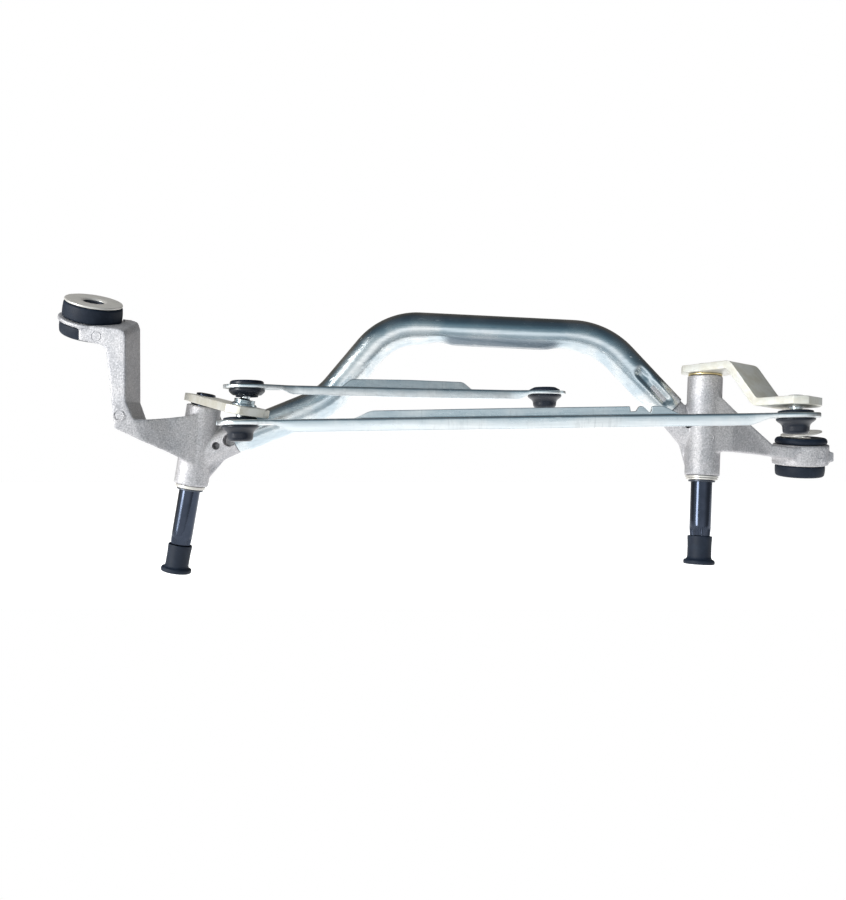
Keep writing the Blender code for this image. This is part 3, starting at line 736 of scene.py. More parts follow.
@dataclass
class FrameTube:
    """The arched tube: round, pressed flat under the arch, staked to the right spigot."""

    radius: float = 11.0
    wall: float = 1.5
    y: float = 4.0
    left_end: Point = (-149.7, -36.1)
    right_end: Point = (146.1, -16.6)
    corners: tuple = ((-88.1, -11.2, 50.0), (-44.9, 40.1, 42.0), (99.5, 33.0, 48.0))
    seat_from: float = -6.0
    seat_to: float = 68.0
    seat_press: float = 1.0
    sides: int = 96

    def press(self, x: np.ndarray, angle: np.ndarray, from_end: np.ndarray) -> np.ndarray:
        """How far the wall is pushed in, in millimetres.

        Two dips close the seat under the arch, and two stake marks sit on the front of the right leg, with
        two more behind: each is a bell along the tube times a bell round it.

        Args:
            x: position along the arch.
            angle: round the tube, 0 at the back and -90 degrees underneath.
            from_end: distance from the right end along the centre line.

        Returns:
            The offset at each point.
        """
        turn = np.degrees(angle)
        under = bump(turn, 270.0, 46.0)
        dips = (bump(x, self.seat_from - 5, 8.5) + bump(x, self.seat_to + 5, 9.5)) * under * 2.5
        dimple = plateau(from_end - 29.6, 5.7) * 2.6
        groove = (smooth(from_end, 4.0, 7.5) - smooth(from_end, 24.5, 28.0)) * 2.3
        sides = [(174.0, 176.0), (6.0, 4.0)]
        stakes = [
            np.maximum(dimple * plateau(turn - a, 20.0), groove * plateau(turn - b, 18.0)) for a, b in sides
        ]
        return dips + sum(stakes)

    def rings(self, radius: float, floor: float) -> np.ndarray:
        """Sections square to the centre line: p = c + y cos a + n max(sin a, -floor), less press()."""
        line, heading = path_through([self.left_end + (0,), *self.corners, self.right_end + (0,)], 1.6)
        step = np.linalg.norm(np.diff(line, axis=0), axis=1)
        from_end = step.sum() - np.concatenate([[0], np.cumsum(step)])
        a = (np.arange(self.sides) + 0.5) * 2 * np.pi / self.sides
        x, angle = np.broadcast_arrays(line[:, :1], a[None, :])
        inset = self.press(x, angle, from_end[:, None])
        r = radius - inset
        pressed = smooth(x, self.seat_from - 3, self.seat_from + 3)
        pressed = pressed * (1 - smooth(x, self.seat_to - 3, self.seat_to + 3))
        bottom = radius - (radius - floor) * pressed
        across, up = r * np.cos(angle), np.maximum(r * np.sin(angle), -bottom)
        nx, nz = -np.sin(heading)[:, None], np.cos(heading)[:, None]
        return np.stack([line[:, :1] + up * nx, self.y + across, line[:, 1:] + up * nz], -1)

    def build(self, shop: Workshop) -> None:
        """Outer skin out, inner skin back, rolled lips between them."""
        floor = self.radius - self.seat_press
        outer = self.rings(self.radius, floor)
        inner = self.rings(self.radius - self.wall, floor - self.wall)
        tube = carried("tube", np.concatenate([outer, inner[::-1]]), WORLD, wrap=True)
        shop.fit(tube, Body.FRAME, Look.TUBE, "frame_tube")


# ------------------------------------------------------------------ castings


def quad(front: float, back: float, *edges: Point) -> np.ndarray:
    """Section across a casting's arm: outer and inner (x, z) edges at its front face, then at its back."""
    edges = edges if len(edges) == 4 else edges * 2
    ys = (front, front, back, back)
    order = (0, 1, 3, 2)
    return np.array([(edges[k][0], y, edges[k][1]) for k, y in zip(order, ys)])


def slab(name: str, outline: Sequence[Point], front: float, back: float) -> bpy.types.Object:
    """A flat shell with an (x, z) outline between two depths."""
    return carried(name, np.array([[(x, y, z) for x, z in outline] for y in (front, back)]), WORLD)


@dataclass
class Casting:
    """A pivot housing: barrel, spigot, arm and ribs, melted together, which fillets every inner corner."""

    side: str
    pivot: Place
    mount: Place
    end: float
    tube_end: Point
    corner: Point
    spigot_length: float
    top: float = -4.2
    barrel_r: float = 11.5
    bore_r: float = 9.6
    spigot_r: float = 10.0
    y: float = 4.0
    voxel: float = 0.75
    neck_r: float = 11.0

    def spigot_place(self) -> Place:
        """The spigot's frame: z from the housing's middle to the tube."""
        axis = unit((self.corner[0] - self.tube_end[0], 0, self.corner[1] - self.tube_end[1]))
        end = np.array([self.tube_end[0], self.y, self.tube_end[1]])
        return Place.along(end - axis * self.spigot_length, axis, (0, 0, 1))

    def barrel(self) -> bpy.types.Object:
        """The tube that carries the bushes, with a slight draft."""
        ends = [(0, self.end), (self.barrel_r - 0.1, self.end), (self.barrel_r, self.top), (0, self.top)]
        return turned("barrel", filleted(ends, 0.2), self.pivot, 72)

    def spigot(self) -> bpy.types.Object:
        """Collar outside the tube, flaring to the barrel: r falls from 12 to 10 as the tube comes near."""
        z = np.linspace(0, self.spigot_length - 0.4, 14)
        r = self.spigot_r + 2.6 * (1 - z / z[-1]) ** 2
        outline = np.vstack([[[0, 0]], np.stack([r, z], 1), [[0, z[-1]]]])
        return turned("spigot", outline, self.spigot_place(), 64)

    def insert(self) -> bpy.types.Object:
        """The spigot's end inside the tube."""
        low, high = self.spigot_length - 0.3, self.spigot_length + 21.0
        ends = [(0, low), (8.9, low), (8.9, high), (0, high)]
        return turned("insert", filleted(ends, 0.8), self.spigot_place(), 48)

    def melted(self, shells: list[bpy.types.Object]) -> bpy.types.Object:
        """Joins the shells, remeshes them into one skin and relaxes it, which fillets where they meet."""
        body = joined(f"{self.side}_casting", shells)
        remesh = body.modifiers.new("melt", "REMESH")
        remesh.mode, remesh.voxel_size, remesh.adaptivity = "VOXEL", self.voxel * MM, 0.0
        relax = body.modifiers.new("relax", "SMOOTH")
        relax.factor, relax.iterations = 0.5, 5
        return applied(body)

    def bore(self) -> list[bpy.types.Object]:
        """Cutters for the bushes' bore and for square, machined ends on the barrel."""
        spans = (
            ("bore", self.bore_r, self.end - 9, self.top + 9, 72),
            ("top_face", 13.5, self.top, self.top + 6, 48),
            ("end_face", 13.0, self.end, self.end - 6, 48),
        )
        return [
            turned(name, np.array([(0, low), (r, low), (r, high), (0, high)]), self.pivot, sides)
            for name, r, low, high, sides in spans
        ]

    def pocket(self, x: float, z: float, radius: float, depth: float) -> bpy.types.Object:
        """Cutter for a round blind pocket in the front of the spigot, with a soft bottom."""
        front = Place.along((x, self.y - self.spigot_r - 6, z), (0, 1, 0))
        ends = [(0, 0), (radius, 0), (radius * 0.93, depth + 6), (0, depth + 6)]
        return turned("pocket", filleted(ends, 0.8), front, 40)

    def ejector_mark(
        self, shop: Workshop, number: int, at: Sequence[float], normal: Sequence[float], radius: float
    ) -> None:
        """A raised ring left by an ejector pin: a small torus, half sunk in the face."""
        t = np.linspace(0, 2 * np.pi, 10, endpoint=False)
        outline = np.stack([radius + 0.32 * np.cos(t), 0.26 * np.sin(t)], 1)
        mark = turned(f"{self.side}_ejector_mark_{number}", outline, Place.along(at, normal), 48)
        shop.fit(mark, Body.FRAME, Look.CAST)

    def finish(
        self, shop: Workshop, shells: list[bpy.types.Object], cutters: list[bpy.types.Object]
    ) -> None:
        """Melts the shells, adds the insert, makes the cuts and fits the casting."""
        body = self.melted(shells)
        cut(body, cutters)
        body = joined(f"{self.side}_casting", [body, self.insert()])
        body.data.shade_smooth()
        body.data.set_sharp_from_angle(angle=math.radians(42))
        shop.fit(body, Body.FRAME, Look.CAST, f"{self.side}_pivot_housing")


@dataclass
class LeftCasting(Casting):
    """The left housing, whose arm drops from the high mount and runs in as a slanting web."""

    def arm(self) -> bpy.types.Object:
        """Block beside the grommet, upright leg, then the web to the barrel."""
        front, back = -37.0, -6.0
        sections = [
            quad(front, back, (-242, 36.5), (-242, 26.0), (-242, 47.0), (-242, 36.5)),
            quad(front, back, (-216.5, 33.4), (-227.5, 23.0), (-217.5, 43.4), (-227.5, 34.0)),
            quad(front, back, (-213.0, 31.8), (-225.0, 20.6), (-213.6, 41.8), (-224.8, 31.4)),
            quad(front, back, (-211.8, 28.0), (-224.2, 17.0), (-212.2, 38.0), (-224.0, 28.0)),
            quad(front, back, (-211.8, -12.7), (-221.0, -12.7)),
            quad(front + 2, back, (-207.8, -24.0), (-220.0, -30.0)),
            quad(front + 6, back - 2, (-200.0, -24.2), (-203.0, -38.5)),
            quad(-20.5, -9.0, (-190.0, -23.0), (-191.0, -45.0)),
            quad(-11.0, -2.0, (-171.3, -20.2), (-176.3, -53.6)),
        ]
        return carried("arm", np.array(sections), WORLD)

    def build(self, shop: Workshop) -> None:
        """Builds the housing with its lip, ribs, pockets and ejector marks."""
        lip = turned("lip", np.array([(0, -1.4), (21.0, -1.4), (21.0, 1.4), (0, 1.4)]), self.mount, 72)
        lower = [(-171.0, -48.0), (-175.0, -62.0), (-168.6, -63.5), (-157.5, -50.5)]
        upper = [(-171.0, -40.0), (-165.0, -17.5), (-161.5, -19.0), (-156.5, -31.0)]
        shells = [self.barrel(), self.spigot(), self.arm(), lip]
        shells += [slab("lower_rib", lower, 2.2, 4.8), slab("upper_rib", upper, 2.2, 4.8)]
        pocket = [(0, -15.0), (20.2, -15.0), (20.2, -1.5), (self.neck_r, -1.5), (self.neck_r, 1.5)]
        pocket += [(20.6, 1.5)]
        room = turned("room", np.array(pocket + [(20.6, 16.0), (0, 16.0)]), self.mount, 72)
        small, large = self.pocket(-161.4, -41.2, 2.7, 8.0), self.pocket(-152.6, -37.4, 4.5, 8.5)
        self.finish(shop, shells, self.bore() + [room, small, large])
        # Painted shade: a dark disc set in the large pocket so that it reads dark; it is no part of the
        # housing.
        shade = Place.along((-152.8, self.y - 1.2, -37.2), (0, 1, 0))
        floor = turned("left_pocket_painted_shade", np.array([(0, 0), (3.9, 0), (3.9, 0.6), (0, 0.6)]), shade, 40)
        shop.fit(floor, Body.FRAME, Look.SPRING)
        self.ejector_mark(shop, 1, (-230.9, -37.0, 28.6), (0, -1, 0), 3.0)
        self.ejector_mark(shop, 2, (-216.5, -36.4, -22.0), (0, -1, 0.0), 3.3)


@dataclass
class RightCasting(Casting):
    """The right housing, whose web runs back to a round pad with a small hook."""

    half_pad: float = 7.2

    def arm(self) -> bpy.types.Object:
        """Web from the barrel to the pad; its first sections lean with the barrel."""
        sections = [
            quad(-11.5, 0.0, (166.0, 2.5), (166.0, -45.0)),
            quad(-9.7, 3.0, (186.0, -17.0), (184.0, -45.0)),
            quad(2.1, 16.0, (217.0, -40.5), (214.0, -47.8)),
            quad(2.2, 30.0, (232.0, -43.0), (232.0, -50.0)),
        ]
        points = np.array(sections)
        points[:2, :2, 1] += 0.052 * points[:2, :2, 2]
        return carried("arm", points, WORLD)

    def build(self, shop: Workshop) -> None:
        """Builds the housing with its pad, hook, rib, pocket and ejector marks."""
        half = self.half_pad
        disc = [(0, -half), (18.5, -half), (18.5, half), (0, half)]
        pad = turned("pad", filleted(disc, 0.8), self.mount, 72)
        rib = [(168.0, -36.0), (166.5, -58.5), (157.5, -57.0), (153.0, -40.0)]
        shells = [self.barrel(), self.spigot(), self.arm(), pad, slab("rib", rib, 2.2, 4.8)]
        shells += [
            slab("front_plate", [(224, -47.3), (250, -47.2), (250, -42.6), (224, -42.6)], 2.1, 20.0),
            slab("corner", [(243, -53.2), (253.8, -53.2), (253.8, -42.2), (243, -42.2)], 2.4, 24.0),
            slab("hook_neck", [(252, -49.0), (260, -49.0), (260, -45.5), (252, -45.5)], 10.0, 15.0),
            slab("hook_tip", [(258.8, -52.4), (261.8, -52.4), (261.8, -45.6), (258.8, -45.6)], 9.7, 15.3),
        ]
        hole = [(0, -half - 9), (self.neck_r, -half - 9), (self.neck_r, half + 9), (0, half + 9)]
        grommet_hole = turned("hole", np.array(hole), self.mount, 72)
        self.finish(shop, shells, self.bore() + [grommet_hole, self.pocket(156.5, -27.0, 2.5, 8.0)])
        self.ejector_mark(shop, 1, (168.2, -13.45, -35.7), (0, -1, 0.05), 2.9)
        self.ejector_mark(shop, 2, (248.6, 2.0, -47.4), (0, -1, 0.1), 2.9)


# ------------------------------------------------------------------ mounts


@dataclass
class Grommet:
    """Two rubber halves round a steel sleeve, either side of the casting's plate."""

    side: str
    mount: Place
    plate: float
    upper: Point
    lower: Point
    sleeve_r: float
    neck_r: float = 10.7
    gap: float = 0.3

    def half(self, sign: int, radius: float, far: float) -> np.ndarray:
        """Outline of one half: neck in the plate, undercut under the rim, slightly barrelled side."""
        hole, face = self.sleeve_r + 2.3, sign * (self.plate + self.gap)
        middle = sign * (self.plate + abs(far)) / 2
        corners = [(hole, sign * 0.15, 0.2), (self.neck_r, sign * 0.15, 0.2), (self.neck_r, face, 0.2)]
        corners += [(radius - 0.5, face, 0.3), (radius + 0.1, face + sign * 0.8, 0.5)]
        corners += [(radius + 0.15, middle, 2.0)]
        corners += [(radius - 0.3, far - sign * 0.9, 0.9), (radius - 1.3, far, 0.6), (hole, far, 0.4)]
        return filleted(corners, 0.4, 5, closed=True)

    def build(self, shop: Workshop) -> None:
        """Fits both halves."""
        for name, sign, (radius, far) in (("upper", 1, self.upper), ("lower", -1, self.lower)):
            rubber = turned(f"{self.side}_rubber_{name}", self.half(sign, radius, far), self.mount, 120)
            shop.fit(rubber, Body.FRAME, Look.RUBBER, f"{self.side}_grommet_{name}")


@dataclass
class LeftMount:
    """The left mount: grommet and a sleeve whose wide washer covers the rubber."""

    mount: Place
    sleeve_r: float = 6.4
    washer_r: float = 18.1
    top: float = 12.0
    bottom: float = -9.8

    def build(self, shop: Workshop) -> None:
        """Fits the rubber and the flanged sleeve, dished slightly round its hole."""
        Grommet("left", self.mount, 1.5, (18.65, self.top), (19.6, self.bottom), self.sleeve_r).build(shop)
        low, high, tube = self.top + 0.3, self.top + 1.6, self.sleeve_r + 2.0
        disc = [(self.sleeve_r + 0.1, low, 0.2), (self.washer_r, low, 0.3), (self.washer_r, high, 0.5)]
        disc += [(self.sleeve_r + 1.4, high, 0.6), (self.sleeve_r + 0.3, high - 0.7, 0.4)]
        washer = turned("left_washer", filleted(disc, 0.3, 5, closed=True), self.mount, 120)
        shop.fit(washer, Body.FRAME, Look.WASHER, "left_grommet_sleeve")
        top = low - 0.05
        wall = [(self.sleeve_r, self.bottom), (tube, self.bottom), (tube, top), (self.sleeve_r, top)]
        sleeve = turned("left_sleeve", filleted(wall, 0.3, 4, closed=True), self.mount, 96)
        shop.fit(sleeve, Body.FRAME, Look.SPRING, "left_grommet_sleeve")


@dataclass
class RightMount:
    """The right mount: grommet, plain sleeve and a loose washer that lies at a tilt."""

    mount: Place
    sleeve_r: float = 4.6
    top: float = 11.6
    bottom: float = -15.4
    washer_lift: float = 14.5
    washer_tilt: float = 8.0

    def build(self, shop: Workshop) -> None:
        """Fits the rubber, the sleeve and the washer."""
        Grommet("right", self.mount, 7.2, (17.0, self.top), (16.2, self.bottom), self.sleeve_r).build(shop)
        wall = [(self.sleeve_r, self.bottom), (self.sleeve_r + 2, self.bottom), (self.sleeve_r + 2, self.top)]
        wall += [(self.sleeve_r, self.top)]
        sleeve = turned("right_sleeve", filleted(wall, 0.3, 4, closed=True), self.mount, 72)
        shop.fit(sleeve, Body.FRAME, Look.WASHER, "right_grommet_sleeve")
        lean = self.mount.z - math.tan(math.radians(self.washer_tilt)) * np.array([1.0, 0, 0])
        seat = Place.along(self.mount.moved(z=self.washer_lift).origin, lean)
        disc = [(6.4, -0.5), (13.5, -0.5), (13.5, 0.5), (6.4, 0.5)]
        washer = turned("right_washer", filleted(disc, 0.25, 4, closed=True), seat, 96)
        shop.fit(washer, Body.FRAME, Look.WASHER, "right_grommet_washer")


# ------------------------------------------------------------------ cranks


@dataclass
class ArmShape:
    """A stamped crank arm: half-widths along it, chamfered ends, and the bends that step it down."""

    near: float
    far: float
    length: float = CRANK_RADIUS
    chamfer: float = 6.0
    plate: float = 5.2
    edge: float = 0.55
    drop: float = 0.0
    bends: tuple[float, float] = (29.0, 50.0)

    def line(self) -> tuple[np.ndarray, np.ndarray]:
        """The arm's middle line (u, z) and its slope angle, straight or stepped with rounded bends."""
        first, last = (-self.near, 0.0, 0), (self.length + self.far, -self.drop, 0)
        middle = [(self.bends[0], 0.0, 6.0), (self.bends[1], -self.drop, 6.0)] if self.drop else []
        return path_through([first, *middle, last], 0.9)

    def half_width(self, u: np.ndarray) -> np.ndarray:
        """Half-width at u: the taper between the ends, less the 45 degree chamfers."""
        low, high = -self.near, self.length + self.far
        body = np.interp(u, [low + self.chamfer, high - self.chamfer], [self.near, self.far])
        first, last = self.near - self.chamfer + (u - low), self.far - self.chamfer + (high - u)
        return np.minimum(body, np.minimum(first, last))

    def rings(self) -> np.ndarray:
        """Rounded rectangles square to the middle line, drawn in at both ends for a broken edge."""
        line, slope = self.line()
        w, t = self.half_width(line[:, 0]), self.plate / 2
        turn = np.radians(np.linspace(0, 90, 4))
        dx, dz = np.cos(turn) - 1, np.sin(turn) - 1
        signs = [(1, 1), (-1, 1), (-1, -1), (1, -1)]
        across, along = [], []
        for k, (sx, sz) in enumerate(signs):
            order = slice(None) if k % 2 == 0 else slice(None, None, -1)
            across.append(np.stack([np.full(4, sx), sx * self.edge * dx[order]], 1))
            along.append(np.stack([np.full(4, sz), sz * self.edge * dz[order]], 1))
        a, b = np.vstack(across), np.vstack(along)
        inset = np.zeros(len(line))
        inset[[0, -1]] = self.edge * 0.8
        y = a[:, 0] * (w - inset)[:, None] + a[:, 1]
        h = b[:, 0] * (t - inset)[:, None] + b[:, 1]
        u = line[:, :1] - h * np.sin(slope)[:, None]
        z = line[:, 1:] + h * np.cos(slope)[:, None]
        return np.stack([u, y, z], -1)


@dataclass
class Crank:
    """A spindle with its crank arm, seals, washers and cap."""

    side: str
    body: Body
    pivot: Place
    arm: ArmShape
    housing_end: float
    cap_top: float
    spindle_r: float = 7.0
    housing_top: float = -4.2
    gap: float = 0.3
    cap_length: float = 19.2

    def build_arm(self, shop: Workshop) -> None:
        """Fits the arm."""
        plate = carried(f"{self.side}_arm", self.arm.rings(), self.pivot, sharp=25.0)
        shop.fit(plate, self.body, Look.CRANK, f"{self.side}_crank_arm")

    def knurl(self, angle: np.ndarray, z: np.ndarray) -> np.ndarray:
        """Teeth on the taper: 36 ridges 0.28 deep that fade in above the cap's mouth."""
        zone = smooth(-z, -self.cap_top - 6.4, -self.cap_top - 5.0)
        return 0.28 * zone * (np.abs(((angle * 36 / np.pi) % 2) - 1) - 1)

    def build_spindle(self, shop: Workshop) -> None:
        """Fits the spindle: riveted head, shank, journal, knurled taper and thread."""
        seat = self.arm.plate / 2 + self.gap
        top = self.cap_top
        corners = [(0, seat + 1.75), (4.2, seat + 1.75, 1.0), (6.4, seat + 1.2, 1.0), (6.4, seat, 0.2)]
        corners += [(5.0, seat, 0), (5.0, -seat, 0), (self.spindle_r, -seat, 0.4)]
        corners += [(self.spindle_r, z, 0) for z in np.linspace(-seat - 4, top + 7.0, 24)]
        taper = zip(np.linspace(6.95, 6.0, 12), np.linspace(top + 6.0, top - 5.0, 12))
        corners += [(r, z, 0) for r, z in taper]
        corners += [(4.3, top - 5.6, 0.2), (4.3, top - 14.5, 0.6), (0, top - 14.5)]
        shaft = turned(f"{self.side}_shaft", filleted(corners, 0.3, 5), self.pivot, 288, self.knurl)
        shop.fit(shaft, self.body, Look.SPINDLE, f"{self.side}_spindle")

    def build_cap(self, shop: Workshop) -> None:
        """Fits the rubber cap: rolled mouth, waisted tube and a flange with a worn edge."""
        top, end = self.cap_top, self.cap_top - self.cap_length
        corners = [(0, top - 15.2), (4.8, top - 15.2, 0.5), (7.0, top - 6.4, 1.0), (7.0, top, 0.3)]
        corners += [(8.0, top, 0.5), (8.0, top - 2.0, 0.8), (7.75, top - 6.0, 2.0), (7.8, end + 5.0, 1.6)]
        corners += [(8.3, end + 3.7, 0.8), (9.9, end + 3.1, 0.7), (10.3, end + 1.8, 1.0)]
        corners += [(10.0, end + 0.2, 0.8), (0, end)]
        cap = turned(f"{self.side}_cap", filleted(corners, 0.4, 6), self.pivot, 96)
        shop.fit(cap, self.body, Look.RUBBER, f"{self.side}_spindle_cap")

    def ring(
        self, shop: Workshop, name: str, node: str, box: Sequence[float], look: Look, fillet: float = 0.3
    ) -> None:
        """Fits a ring with a rounded rectangular section, box = inner, outer, low, high."""
        inner, outer, low, high = box
        corners = [(inner, low), (outer, low), (outer, high), (inner, high)]
        piece = turned(f"{self.side}_{name}", filleted(corners, fillet, 5, closed=True), self.pivot, 96)
        shop.fit(piece, self.body, look, f"{self.side}_{node}")

    def build(self, shop: Workshop) -> None:
        """Fits everything that turns with the spindle, apart from the ball studs."""
        self.build_arm(shop)
        self.build_spindle(shop)
        self.build_cap(shop)
        low, high = self.housing_top + self.gap, -self.arm.plate / 2 - self.gap
        below = self.housing_end - self.gap
        if self.side == "left":
            self.ring(shop, "seal_ring", "o_ring", (7.4, 9.0, low, high), Look.RUBBER, 0.45)
            self.ring(shop, "washer", "thrust_washer", (7.4, 9.9, below - 2.0, below), Look.WASHER)
            self.ring(shop, "clip", "retaining_ring", (7.3, 8.7, below - 3.5, below - 2.3), Look.SPRING)
            return
        self.ring(shop, "shim", "top_shim", (9.1, 11.0, low, high), Look.BRASS, 0.15)
        self.ring(shop, "seal_ring", "o_ring", (7.4, 8.8, low, high), Look.RUBBER, 0.45)
        self.ring(shop, "washer", "thrust_washer", (7.4, 10.7, below - 1.1, below), Look.WASHER, 0.2)
        wave = (7.4, 10.2, below - 2.5, below - 1.4)
        self.ring(shop, "spring_washer", "wave_washer", wave, Look.WASHER, 0.2)
        self.ring(shop, "clip", "retaining_ring", (7.3, 8.7, below - 3.9, below - 2.8), Look.SPRING)


@dataclass
class BallStuds:
    """The riveted ball studs: double on the left crank, single on the right one."""

    left: Place
    right: Place
    reach: float = CRANK_RADIUS
    seat: float = 2.9
    lower: float = -10.0
    upper: float = 13.6
    right_drop: float = RIGHT_CRANK_DROP
    right_ball: float = RIGHT_BALL
    ball_r: float = 5.2
    small_r: float = 4.0

    def neck(self, flat: float, ball: float) -> list:
        """Outline from the bottom of a ball up its neck to the arm."""
        rows = [(0, ball - self.ball_r)] + arc((0, ball), self.ball_r, -84, 44, 22)
        low = flat - self.seat
        return rows + [(3.6, low - 0.4, 0.3), (4.6, low - 0.4, 0.15), (4.6, low, 0.1), (3.7, low, 0)]

    def build(self, shop: Workshop) -> None:
        """Fits both studs; the double one has a cone and a two-ringed collar above the arm."""
        up = self.seat
        rows = self.neck(0, self.lower) + [(3.7, up, 0), (7.9, up, 0.2), (7.6, up + 0.9, 0.4)]
        rows += [(6.1, up + 1.7, 0.4)]
        rows += [(6.1, up + 2.0, 0.1), (6.5, up + 2.3, 0.2), (6.1, up + 2.7, 0.1), (6.5, up + 3.1, 0.2)]
        rows += [(6.3, up + 3.6, 0.2), (3.0, up + 3.7, 0.2), (2.7, up + 4.4, 0.3)]
        rows += arc((0, self.upper), self.small_r, -46, 84, 20) + [(0, self.upper + self.small_r)]
        stud = turned("double_stud", filleted(rows, 0.2, 4), self.left.moved(x=self.reach), 72)
        shop.fit(stud, Body.LEFT_CRANK, Look.STUD, "left_double_ball_stud")
        flat = -self.right_drop
        rows = self.neck(flat, flat + self.right_ball) + [(3.7, flat + up, 0), (5.4, flat + up, 0.2)]
        rows += [(4.8, flat + up + 1.2, 0.6), (0, flat + up + 1.4)]
        stud = turned("right_stud", filleted(rows, 0.2, 4), self.right.moved(x=self.reach), 72)
        shop.fit(stud, Body.RIGHT_CRANK, Look.STUD, "right_ball_stud")


# ------------------------------------------------------------------ links


@dataclass
class Link:
    """A stamped link with its sockets: flat round ends, front edge turned down, back edge turned up."""

    name: str
    body: Body
    place: Place
    length: float
    sheet: float
    mid: float
    waist: float
    down: tuple[float, float, float]
    up: tuple[float, float, float]
    down_ends: tuple[float, float]
    up_ends: tuple[float, float]
    ramp: float = 13.0
    end_r: float = 14.2
    notches: tuple[tuple[float, float, float, float, float], ...] = ()

    def profile(self, u: np.ndarray) -> tuple[np.ndarray, np.ndarray, np.ndarray]:
        """Half-width and both flange heights at u.

        The half-width follows a circle about each socket and eases into the waist; a flange's height is its
        rise from end to end times a smoothstep at each end, less any notch.

        Args:
            u: distance from the left socket.

        Returns:
            Half-width, height down and height up.
        """
        flat = 0.12
        inside = np.clip(np.minimum(u + self.end_r, self.length + self.end_r - u), 0, self.end_r)
        circle = np.sqrt(np.maximum(self.end_r**2 - (self.end_r - inside) ** 2, 0.3))
        from_end = np.minimum(u, self.length - u)
        eased = self.waist + (self.end_r - self.waist) * (1 - smooth(from_end, 2, 30))
        w = np.where(from_end > 0, eased, circle)
        heights = []
        for (first, middle, last), (start, stop) in ((self.down, self.down_ends), (self.up, self.up_ends)):
            tall = np.interp(u, [start, (start + stop) / 2, stop], [first, middle, last])
            window = smooth(u, start - self.ramp, start + 2) * (1 - smooth(u, stop - 2, stop + self.ramp))
            heights.append(flat + tall * window)
        for first, full, leave, last, depth in self.notches:
            heights[1] = heights[1] * (1 - depth * (smooth(u, first, full) - smooth(u, leave, last)))
        return np.maximum(w, self.sheet + 0.4), heights[0], heights[1]

    def rings(self) -> np.ndarray:
        """Sections with rounded corners: a Z whose front leg hangs down and whose back leg stands up."""
        left = -self.end_r * np.cos(np.linspace(0.08, np.pi / 2, 14))
        between = np.linspace(1, self.length - 1, int(self.length / 1.2))
        u = np.concatenate([left, between, self.length - left[::-1]])
        fine = [np.arange(n[0] - 1, n[3] + 1, 0.35) for n in self.notches]
        u = np.union1d(u, np.concatenate(fine)) if fine else u
        w, down, up = self.profile(u)
        low, high = np.full_like(u, self.mid - self.sheet / 2), np.full_like(u, self.mid + self.sheet / 2)
        s = self.sheet
        corners = np.stack([
            np.stack([w, w, -w + s, -w + s, -w, -w, w - s, w - s], 1),
            np.stack([high + up, low, low, low - down, low - down, high, high, high + up], 1),
        ], -1)
        before, after = np.roll(corners, 1, 1) - corners, np.roll(corners, -1, 1) - corners
        reach = np.array([0.5, 1.6, 1.0, 0.5, 0.5, 1.6, 1.0, 0.5])[None, :, None]
        sizes = [np.linalg.norm(side, axis=2, keepdims=True) for side in (before, after)]
        cut_at = np.minimum(reach, 0.45 * np.minimum(*sizes))
        start, end = corners + before / sizes[0] * cut_at, corners + after / sizes[1] * cut_at
        t = np.linspace(0, 1, 4)[None, None, :, None]
        rounded = (1 - t) ** 2 * start[:, :, None] + 2 * t * (1 - t) * corners[:, :, None]
        rounded = (rounded + t**2 * end[:, :, None]).reshape(len(u), -1, 2)
        stations = np.broadcast_to(u[:, None, None], rounded.shape[:2] + (1,))
        return np.concatenate([stations, rounded], -1)

    def build_rod(self, shop: Workshop) -> None:
        """Fits the stamped strip."""
        rod = carried(self.name, self.rings(), self.place, sharp=50.0)
        shop.fit(rod, self.body, Look.LINK, f"{self.name}_rod")

    def build_cup(self, shop: Workshop, node: str, u: float, cavity: float) -> None:
        """Fits a ball cup through the strip: dished flange under it and a waisted cup with a soft bottom."""
        under, top = self.mid - self.sheet / 2 - 0.3, self.mid + self.sheet / 2
        corners = [(0, -6.9), (cavity * 0.6, -6.4, 1.0), (cavity, -3.2, 1.2), (cavity, top, 0.3)]
        corners += [(8.0, top, 0.3), (8.0, under, 0.1), (11.3, under, 0.4), (11.4, under - 1.1, 0.5)]
        corners += [(10.6, under - 2.0, 0.5), (8.9, under - 3.2, 0.8), (7.9, under - 4.6, 0.8)]
        corners += [(7.6, -8.2, 0.8), (6.3, -9.5, 0.8), (0, -9.5)]
        cup = turned(f"{node}_cup", filleted(corners, 0.3, 5), self.place.moved(x=u), 96)
        shop.fit(cup, self.body, Look.PLASTIC, node)

    def build_seal(self, shop: Workshop, node: str, u: float, height: float = 1.8) -> None:
        """Fits the seal round a stud: a soft rim that rises towards its hole."""
        low = self.mid + self.sheet / 2 + 0.1
        corners = [(5.6, low, 0.1), (10.3, low, 0.2), (10.35, low + 1.0, 0.4), (9.6, low + 1.4, 0.4)]
        corners += [(7.1, low + height + 0.1, 0.4), (5.6, low + height + 0.1, 0.3)]
        seal = turned(f"{node}_lip", filleted(corners, 0.2, 4, closed=True), self.place.moved(x=u), 96)
        shop.fit(seal, self.body, Look.RUBBER, node)


